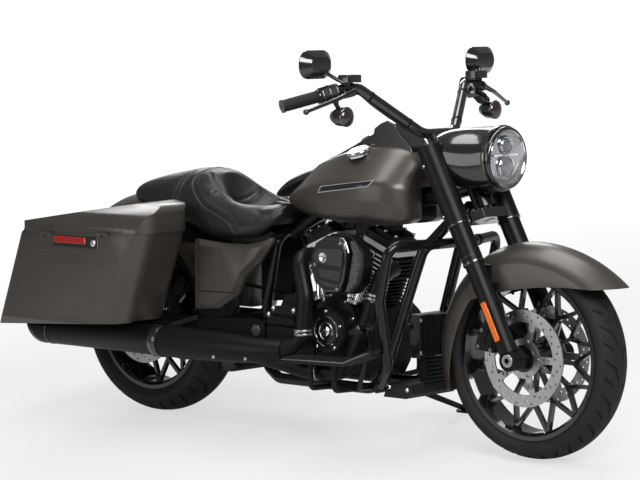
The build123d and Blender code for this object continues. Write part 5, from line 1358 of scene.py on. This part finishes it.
# cam cover: round lip, ring and bare disc, with screws round its edge
bm = bmesh.new()
spot = turned((916, -178, 358), (0, -1, 0))
lathe(bm, [(78.6, -14), (78.6, -1.6), (77, 0), (70, 0), (69, -0.8), (58, -0.8), (57, 0.6),
           (54.6, 1.2), (52.6, 0.6), (52, -0.4)], spot, 96)
bevelled(from_bmesh("cam_cover_lip", bm, "chassis", satin_black), 0.4)
lathed("cam_cover_rings", "chassis", chrome, ([(49, -0.6), (49.4, 1.2), (47.2, 2.2), (45, 1.4), (44.6, 0)],
                                              spot, 96), ([(29, 0), (29.4, 1.8), (27.4, 2.6), (25.6, 1.8),
                                                           (25.2, 0.4)], spot, 72), ([(15.4, 0), (15.8, 2.2),
        (14, 3), (0, 3)], spot, 48))
lathed("cam_cover_disc", "chassis", gloss_black, ([(52, -0.6), (49, -0.2), (44.8, -0.2), (30, 1), (25, 0.6),
                                                   (15, 0.8), (0, 0.8)], spot, 72))
cover_screws = outward(-178.6, [(916 + 63.5 * math.cos(a), 358 + 63.5 * math.sin(a))
                                for a in (math.radians(18 + 72 * k) for k in range(5))])
cover_screws += outward(-136.3, ((846, 300), (838, 410), (872, 452), (962, 452), (994, 400), (986, 318)))
set_out("cam_cover_screws", cover_screws, socket_screw(5.6, 4), chrome, "chassis")

# gearbox side cover: top plate, stepped ribs and screws
bm = bmesh.new()
place = facing_right(710, -152, 368)
for outline, depth in (([(-58, 26), (-40, 54), (38, 58), (60, 48), (62, 30), (56, 24)], 9),
                       ([(-62, -2), (-56, 18), (54, 14), (64, 0), (60, -6), (-60, -6)], 20),
                       ([(-64, -46), (-64, -16), (-58, -10), (52, -14), (66, -26), (58, -48), (50, -54),
                         (-58, -52)], 16)):
    plate(bm, outline, place, depth)
bevelled(from_bmesh("gearbox_plates", bm, "chassis", engine_black, 30), 3)
gear_screws = outward(-161.2, ((672, 414), (760, 412)))
gear_screws += outward(-152.6, ((643, 392), (644, 312), (776, 318)))
set_out("gearbox_screws", gear_screws, hex_screw(6.4, 6), chrome, "chassis")


# ---------------------------------------------------------------- air cleaner
AIR_X, AIR_Z = 1000, 577


def make_air_cleaner():
    """Faceted cover behind, a raised bare badge on it, and the foam element showing ahead."""
    def facing(y):
        return facing_right(AIR_X, y, AIR_Z)

    back = [(-104, 26), (-86, 68), (-40, 96), (40, 96), (60, 84), (92, 46), (102, 8),
            (86, -56), (50, -90), (-44, -96), (-92, -60), (-105, -14)]
    bm = bmesh.new()
    plate(bm, back, facing(-158), 44)
    lathe(bm, [(44, 0), (44, 56), (40, 58.5)], turned((AIR_X, -100, AIR_Z), (0, -1, 0)), 40)
    body = from_bmesh("air_cleaner_back", bm, "chassis", satin_black)
    bevelled(body, 5, 3)
    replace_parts(body, "air_cleaner")
    # cover: a rounded shell whose face is stepped
    bm = bmesh.new()
    cover = [(-103, 24), (-84, 66), (-38, 92), (26, 90), (40, 74), (52, 40), (34, -44),
             (18, -84), (-44, -90), (-90, -56), (-104, -12)]
    plate(bm, cover, facing(-200), 30)
    bevelled(from_bmesh("air_cleaner_cover", bm, "chassis", gloss_black), 9, 4)
    bm = bmesh.new()
    upper = [(-84, 26), (-66, 50), (22, 52), (38, 44), (34, -4), (-50, 2), (-78, 8)]
    plate(bm, upper, facing(-229), 9)
    middle = [(-66, -12), (30, -16), (22, -50), (-58, -40)]
    plate(bm, middle, facing(-229), 6)
    lower = [(-70, -54), (-56, -50), (18, -60), (14, -72), (-38, -70)]
    plate(bm, lower, facing(-229), 4)
    bevelled(from_bmesh("air_cleaner_steps", bm, "chassis", step_grey), 3, 3)
    bm = bmesh.new()
    spot = turned((957, -238, 601), (0, -1, 0))
    lathe(bm, [(16, -1), (16.4, 1.6), (14.6, 2.6), (12.6, 1.4), (0, 1)], spot, 48)
    edge = [(30, 88), (41, 73), (52.5, 42)]
    line = [Vector((AIR_X + x, -222, AIR_Z + z)) for x, z in edge]
    tube(bm, curve_through(line, 8), 2.6, 10)
    from_bmesh("air_cleaner_trim", bm, "chassis", chrome)
    # foam element under its mesh
    bm = bmesh.new()
    foam = [(50, 80), (60, 78), (88, 44), (97, 8), (82, -52), (48, -86), (30, -84), (45, -44), (63, 40)]
    plate(bm, foam, facing(-196), 22)
    bevelled(from_bmesh("air_filter", bm, "chassis", foam_finish), 6, 3)
    places = []
    for row in range(-13, 13):
        for column in range(0, 12):
            x = 34 + column * 6.6 + (3.3 if row % 2 else 0)
            z = row * 6.4
            if inside_outline(x, z, foam, 6):
                places.append((Vector((AIR_X + x, -217.6, AIR_Z + z)), (0, -1, 0)))
    set_out("filter_mesh", places, shape("mesh_eye", [(1.1, 0), (1.3, 0.9), (2.3, 0.9), (2.5, 0)], 8),
            fastener, "chassis")
    set_out("air_cleaner_screws", outward(-230, ((916, 575), (1024, 647), (1008, 501))),
            socket_screw(5.4, 3.6), fastener, "chassis")


def inside_outline(x, y, outline, margin):
    """True well inside a convex or nearly convex outline."""
    hit = False
    for (ax, ay), (bx, by) in zip(outline, outline[1:] + outline[:1]):
        if (ay > y) != (by > y) and x < (bx - ax) * (y - ay) / (by - ay) + ax:
            hit = not hit
        share = ((x - ax) * (bx - ax) + (y - ay) * (by - ay)) / max(1e-9, (bx - ax) ** 2 + (by - ay) ** 2)
        share = min(1, max(0, share))
        if math.hypot(x - ax - share * (bx - ax), y - ay - share * (by - ay)) < margin:
            return False
    return hit


step_grey = varied("cover_step_coating", "satin_black", (0.02, 0.02, 0.021), 0.34, tone=0.2, grain=0.03,
                   grain_scale=700, specular=0.5)
foam_finish = varied("filter_foam", "black_plastic", (0.045, 0.045, 0.046), 0.85, tone=0.35, scale=160,
                     grain=0.5, grain_scale=380, specular=0.2)
make_air_cleaner()
# ---------------------------------------------------------------- pieces that follow a solid's surface
def skin_of(node):
    """Surface of a node for measuring, in upright millimetres."""
    bm = merged_copy(node)
    bm.transform(UNPARKED)
    tree = mathutils.bvhtree.BVHTree.FromBMesh(bm)
    bm.free()
    return tree


def seen_from_side(tree, x, z, side):
    return tree.ray_cast(Vector((x, side * 900, z)), Vector((0, -side, 0)))[0]


def laid_on(bm, tree, corners, rise, side, along=20, across=6):
    """Raised patch with a rolled edge over a surface seen from the side; four (x, z) corners in order."""
    a, b, c, d = (Vector((x, 0, z)) for x, z in corners)
    edges = [0, 0.012, 0.03]
    us = edges + [k / along for k in range(1, along)] + [1 - e for e in reversed(edges)]
    vs = [0, 0.05, 0.14] + [k / across for k in range(1, across) if 0.16 < k / across < 0.84] + [0.86, 0.95,
            1]
    lifts = (-1, 0.7, 1)
    grid = []
    for i, u in enumerate(us):
        row = []
        for j, v in enumerate(vs):
            spot = a.lerp(b, u).lerp(d.lerp(c, u), v)
            hit = seen_from_side(tree, spot.x, spot.z, side)
            edge = min(i, j, len(us) - 1 - i, len(vs) - 1 - j, 2)
            lift = lifts[edge] * (rise if edge else 1)
            row.append(bm.verts.new(hit + Vector((0, side * lift, 0))))
        grid.append(row)
    for first, second in zip(grid, grid[1:]):
        for k in range(len(vs) - 1):
            bm.faces.new([first[k], second[k], second[k + 1], first[k + 1]])
    rim = grid[0] + [row[-1] for row in grid[1:]] + grid[-1][-2::-1] + [row[0] for row in grid[-2:0:-1]]
    bm.faces.new(rim)
    return [v.co.copy() for v in rim]


tank, bags = skin_of("fuel_tank"), {-1: skin_of("saddlebag_right"), 1: skin_of("saddlebag_left")}
badge, edging = bmesh.new(), bmesh.new()
for side in (-1, 1):
    outline = [(862, 798), (1080, 826), (1097, 846), (872, 818)]
    rim = laid_on(badge, tank, outline, 2.2, side, 24, 5)
    tube(edging, [p + Vector((0, side * 1.6, 0)) for p in rim], 1.5, 8, closed=True)
from_bmesh("tank_badges", badge, "chassis", gloss_black)
from_bmesh("tank_badge_edges", edging, "chassis", chrome)
bm, plates, locks = bmesh.new(), bmesh.new(), []
for side in (-1, 1):
    laid_on(plates, bags[side], [(-116, 590), (114, 590), (110, 632), (-112, 632)], 2.4, side)
    laid_on(bm, bags[side], [(-108, 604), (50, 604), (48, 628), (-106, 628)], 4.6, side)
    locks.append((Vector((86, side * 408.5, 611)), (0, side, 0)))
from_bmesh("bag_reflector_plates", plates, "chassis", gloss_black)
# the red bag reflectors glow faintly: painted light standing in for the light they reflect
from_bmesh("bag_reflectors", bm, "chassis", red_lens)
set_out("bag_locks", locks, shape("bag_lock", [(0, 3.4), (3, 3.4), (3.4, 4.6), (9.6, 4.6), (11.4, 3.2),
                                               (12, -1)], 32), chrome, "chassis")

for node in ("lid_right", "lid_left"):
    tree, side = skin_of(node), (-1 if node == "lid_right" else 1)
    row = []
    for k in range(120):
        a = 2 * math.pi * k / 120
        way = Vector((math.cos(a), 0.42 * math.sin(a), 0)).normalized()
        spot = Vector((-9, side * 288, 647.7))
        for again in (0, 1):
            hit = tree.ray_cast(spot + way * 700, -way)[0]
            if hit is None:
                break
            spot.z = 647.7 + 0.0344 * hit.x
        if hit is not None:
            row.append(hit)
    bm = bmesh.new()
    tube(bm, row, 3.2, 10, closed=True)
    from_bmesh(node + "_lip", bm, frame["nodes"][node]["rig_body"], paint)

# ---------------------------------------------------------------- console, dial and fuel caps
def cap_place(side):
    return turned((978, side * 86, 930), (-0.1, side * 0.36, 0.93))


bm = bmesh.new()
plate(bm, [(702, -822), (702, -834), (770, -880), (860, -919), (930, -951), (1003, -987),
           (1007, -1003), (1036, -1021), (1062, -1030), (1092, -1020), (1120, -986),
           (1162, -950), (1167, -900), (1060, -920), (910, -900), (770, -850)],
      Matrix.Translation((0, -46, 0)) @ Matrix.Rotation(-math.pi / 2, 4, "X"), 92)
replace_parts(bevelled(from_bmesh("console_shell", bm, "chassis", gloss_black, 30.0), 5.0, 3, 60), "console")
# leather tongue from the seat up onto the tank
bm = bmesh.new()
run = [(588, 771, 48, 4), (592, 774, 56, 11), (602, 782, 61, 17), (640, 809, 60, 21),
       (700, 833, 54, 22), (730, 848, 44, 16), (750, 858, 34, 5)]
tube(bm, curve_through([(x, 0, z) for x, z, wide, high in run], 4), 1, 36,
     widths=[(p.x, p.y) for p in curve_through([(wide, high, 0) for x, z, wide, high in run], 4)])
from_bmesh("seat_tongue", bm, "chassis", leather, 60)
dial = turned((962, 0, 968.6), (-0.44, 0, 0.898))
bm = bmesh.new()
lathe(bm, [(33, -6), (39, -6), (39.4, 2), (37.8, 4.4), (35.2, 4.8), (33.4, 3.2), (33, -6)], dial, 72)
from_bmesh("dial_rim", bm, "chassis", chrome)
lathed("dial_plate", "chassis", dial_black, ([(0, 1), (33.4, 1), (33.4, -1), (0, -1)], dial, 48))
bm = bmesh.new()
for k in range(33):
    a = math.radians(220 - 8.125 * k)
    long = k % 4 == 0
    radius = 28.6 if long else 29.8
    block(bm, dial @ Matrix.Translation((radius * math.sin(a + math.pi), radius * math.cos(a + math.pi), 1.2))
          @ Matrix.Rotation(-a, 4, "Z"), (0.9 if long else 0.5, 5.4 if long else 3, 0.4))
block(bm, dial @ Matrix.Rotation(0.7, 4, "Z") @ Matrix.Translation((0, 13, 2.2)), (1.4, 25, 0.5))
from_bmesh("dial_marks", bm, "chassis", dial_white)
bm = bmesh.new()
for side in SIDES:
    cap = cap_place(side)
    lathe(bm, [(0, 9.4), (20, 9.2), (24, 7.8), (26, 9), (34, 8.4), (39, 6.6), (40.6, 3),
               (40.6, -9), (0, -9)], cap, 64)
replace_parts(from_bmesh("cap_tops", bm, "chassis", chrome), "fuel_caps")
bm = bmesh.new()
lathe(bm, [(1.5, -4), (2.2, -3.4), (2.2, 3.4), (1.5, 4)], Matrix(), 10)
notches = []
for side in SIDES:
    cap = cap_place(side)
    up = cap.to_3x3() @ Vector((0, 0, 1))
    notches += [(cap @ Vector((40.2 * math.cos(a), 40.2 * math.sin(a), 0.5)), up)
                for a in (2 * math.pi * k / 36 for k in range(36))]
set_out("cap_grips", notches, loose("cap_grip", bm), dark_chrome, "chassis")
set_out("console_screws", [(Vector((738, y, 860.5)), (-0.55, 0, 0.83)) for y in (-22, 22)],
        socket_screw(5, 3.4), fastener, "chassis")
# coil cover hung between the cylinder heads
bm = bmesh.new()
block(bm, Matrix.Translation((988, 0, 678)), (150, 70, 44))
block(bm, Matrix.Translation((830, 0, 690)), (60, 50, 40))
bevelled(from_bmesh("coil_cover", bm, "chassis", plastic), 8, 3)

# ---------------------------------------------------------------- exhaust
# both mufflers lie level, this far out and this high
MUFFLER = 290


def muffler_place(x, side):
    return turned((x, side * MUFFLER, MUFFLER), (1, 0, 0))


bm, seams = bmesh.new(), bmesh.new()
for side in SIDES:
    for x, radius, width in ((268, 54.4, 34), (-238, 51.6, 5)):
        lathe(seams, [(radius - 4.6, 0), (radius - 0.8, 0), (radius, 1.2), (radius, width - 1.2),
                      (radius - 0.8, width), (radius - 4.6, width)], muffler_place(x, side), 48)
    tip = muffler_place(-316, side)
    rings = lathe(seams, [(45.4, 30), (44.4, 0), (47.6, -2), (50.6, 0), (50.6, 9)], tip, 56)
    for ring in rings:
        for vert in ring:
            vert.co.x -= (vert.co.z - MUFFLER) * 0.6 - 6
shield = bmesh.new()
for side in SIDES:
    run = [(296, 290, 290, 52), (420, 290, 290, 51), (520, 290, 290, 49)]
    if side < 0:
        run += [(620, 289, 290, 46), (700, 279, 290, 42), (772, 262, 291, 38), (800, 254, 293, 35)]
    else:
        run[1:] = [(360, 290, 290, 46), (410, 290, 290, 36)]
    tube(shield, [(x, side * y, z) for x, y, z, r in run], 1, 36,
         widths=[(r * 0.97, r) for x, y, z, r in run])
from_bmesh("heat_shields", shield, "chassis", satin_black)
for spot, along in (((858, -223, 345), (0, 0, 1)), ((1108, -168, 466), (0.2, 0.3, 0.95)),
                    ((905, -221.5, 234.3), (1, 0.16, 0))):
    for k in (0, 1):
        lathe(bm, [(26.6, 0), (29.6, 0), (30, 1), (30, 6), (29.6, 7), (26.6, 7)],
              turned(Vector(spot) + Vector(along).normalized() * 12 * k, along), 40)
from_bmesh("exhaust_clamps", bm, "chassis", alloy)
from_bmesh("muffler_bands", seams, "chassis", gloss_black)
lathed("muffler_insides", "chassis", plastic, *(([(44.6, 60), (44.6, 0), (45.2, -3), (0, -3)],
                                                 muffler_place(-240, side), 40) for side in SIDES))
set_out("exhaust_screws", [(Vector((560, -290, 290)) + Vector((0, -0.8, -0.6)) * 47, (0, -0.8, -0.6)),
                           (Vector((690, -281, 290)) + Vector((0, -0.8, -0.6)) * 42, (0, -0.8, -0.6)),
                           (Vector((858, -252, 355)), (0, -1, 0)), (Vector((1124, -192, 470)),
        (0.4, -0.9, 0))], hex_screw(5.4, 6.5), fastener, "chassis")

# ---------------------------------------------------------------- footboards, pedal and lever
bm = bmesh.new()
block(bm, Matrix.Translation((0, 0, 1)), (7, 74, 4.4))
cleat = loose("cleat", bm)
cleats = [(Vector((878 + 17 * k, side * 285, 285 + 0.0291 * (17 * k - 2))), (-0.029, 0, 1))
          for side in SIDES for k in range(14)]
cleats += [(Vector((1132 + 16 * k, side * (283 - 3 * k), 298.4 + 6.6 * k)), (-0.41, 0, 0.91))
           for side in SIDES for k in range(4)]
bevelled(set_out("board_cleats", cleats, cleat, rubber, "chassis"), 1)
bm = bmesh.new()
for side in SIDES:
    tube(bm, [(866, side * 334.4, 280.6), (1126, side * 334.4, 288), (1200, side * 305, 322),
              (1206.4, side * 238, 325)], 3, 10)
from_bmesh("board_edges", bm, "chassis", dark_chrome)
pad = Matrix(((0.865, 0, -0.502, 1162), (0, 1, 0, -286), (0.502, 0, 0.865, 399.9), (0, 0, 0, 1)))
bm = bmesh.new()
for k in (-14, -5, 4, 13):
    block(bm, pad @ Matrix.Translation((k, 0, 1)), (4.4, 58, 4))
bevelled(from_bmesh("pedal_ribs", bm, "chassis", rubber), 1)
set_out("peg_ribs", [(Vector((x, y, 356)), (0, 1, 0)) for x in (866, 1136)
                     for y in (252, 260, 268, 276, 284, 292)], shape("peg_rib",
        [(10.4, -2.6), (12.8, -2), (12.8, 2), (10.4, 2.6)], 28), rubber, "chassis")

# ---------------------------------------------------------------- cooler, guard and chin cover
bm = bmesh.new()
for side in SIDES:
    block(bm, Matrix.Translation((1216, side * 92, 356)), (40, 7, 134))
for z in (290, 422):
    block(bm, Matrix.Translation((1216, 0, z)), (40, 190, 6))
bevelled(from_bmesh("cooler_frame", bm, "chassis", gloss_black), 1.6)
bm = bmesh.new()
for side in SIDES:
    for spot, along in (((1302, side * 96, 651), (-44, side * 174, 5)),
                        ((1140, side * 156, 254), (-96, side * -81, -284)),
                        ((1126, side * 143.5, 228), (-96, side * -81, -200))):
        lathe(bm, [(15, -9), (18.4, -8.4), (18.8, -7), (18.8, 7), (18.4, 8.4), (15, 9)],
              turned(Vector(spot) + Vector(along).normalized() * 24, along), 36)
from_bmesh("guard_collars", bm, "chassis", satin_black)
bolts = [(Vector((1240.4, y, z)), (1, 0, 0)) for y in (-92, 92) for z in (304, 408)]
for side in SIDES:
    bolts += outward(side * 118.2, ((1130, 192), (1204, 188)))
set_out("cooler_bolts", bolts, hex_screw(5.6, 5), chrome, "chassis")

# ---------------------------------------------------------------- side covers and rear end
cover = skin_of("side_covers")
bm = bmesh.new()
for side in SIDES:
    row = [seen_from_side(cover, x, 452 + (x - 330) * 0.02, side) for x in range(336, 640, 12)]
    tube(bm, [p for p in row if p], 1.6, 8)
from_bmesh("side_cover_lines", bm, "chassis", gloss_black)
bm = bmesh.new()
tube(bm, curve_through([(-350, -62.4, 667), (-384, -62.4, 650), (-397.5, -62.4, 600), (-392, -58, 584),
                        (-392, 58, 584), (-397.5, 62.4, 600), (-384, 62.4, 650), (-350, 62.4, 667)],
                       6), 2.8, 10)
from_bmesh("tail_lamp_rim", bm, "chassis", gloss_black)
bm, rims = bmesh.new(), bmesh.new()
for side in SIDES:
    spot = turned((-424, side * 128, 540), (-1, 0, 0))
    lathe(bm, [(26, 27), (26.6, 29), (22, 31.4), (12, 33), (0, 33.6)], spot, 40)
    lathe(rims, [(26.2, 26), (29.4, 26.4), (29.8, 30), (28, 32.4), (26.4, 31.6)], spot, 40)
from_bmesh("rear_signal_lenses", bm, "chassis", smoked)
from_bmesh("rear_signal_rims", rims, "chassis", dark_chrome)
holder = Matrix(((0, -0.119, -0.993, -455.2), (1, 0, 0, 0), (0, -0.993, 0.119, 420.5), (0, 0, 0, 1)))
bm = bmesh.new()
plate(bm, rounded(180, 106, 8), holder, 1.2)
bevelled(from_bmesh("blank_plate", bm, "chassis", alloy), 0.5)
set_out("plate_screws", [(holder @ Vector((x, -40, 1.2)), (-0.993, 0, 0.119)) for x in (-62, 62)],
        socket_screw(4.6, 2.6), fastener, "chassis")
strut = skin_of("rear_fender")
bolts = [(seen_from_side(strut, x, z, side), (0, side, 0)) for side in SIDES
         for x, z in ((60, 676), (150, 650))]
bolts += outward(-127.7, ((142, 372), (82, 440)))
set_out("fender_bolts", bolts, socket_screw(8.5, 6), chrome, "chassis")
set_out("axle_nuts", [(Vector((0, side * 160, 324)), (0, side, 0)) for side in SIDES],
        hex_screw(13.5, 7), fastener, "chassis")
bm = bmesh.new()
for side in SIDES:
    for share in (0.08, 0.62):
        lathe(bm, [(20, 0), (24.6, 0), (25.4, 1), (25.4, 7), (24.6, 8), (20, 8)],
              turned(Vector((30, side * 142, 380)).lerp(Vector((150, side * 142, 596)), share),
                     (120, 0, 216)), 36)
from_bmesh("shock_collars", bm, "chassis", chrome)

# ---------------------------------------------------------------- primary cover on the left
bm = bmesh.new()
place = facing_right(0, 180, 0)
plate(bm, [(622, 396), (622, 302), (688, 246), (896, 234), (1004, 276), (1012, 384),
           (950, 428), (708, 450)], place, -3)
for x, z, radius in ((706, 344, 74), (930, 336, 46)):
    lathe(bm, [(0, 9), (radius - 9, 9), (radius - 5, 7), (radius, 6.4), (radius, 0)],
          turned((x, 180, z), (0, 1, 0)), 64)
bevelled(from_bmesh("primary_cover_faces", bm, "chassis", gloss_black), 1.4)
primary = outward(180.2, ((610, 390), (610, 300), (684, 236), (790, 229), (896, 223),
                          (1012, 268), (1022, 384), (956, 438), (830, 450), (704, 460)))
primary += outward(187, [(706 + 62 * math.cos(a), 344 + 62 * math.sin(a))
                           for a in (2 * math.pi * k / 5 + 0.3 for k in range(5))])
set_out("primary_cover_screws", primary, socket_screw(5.6, 4), chrome, "chassis")
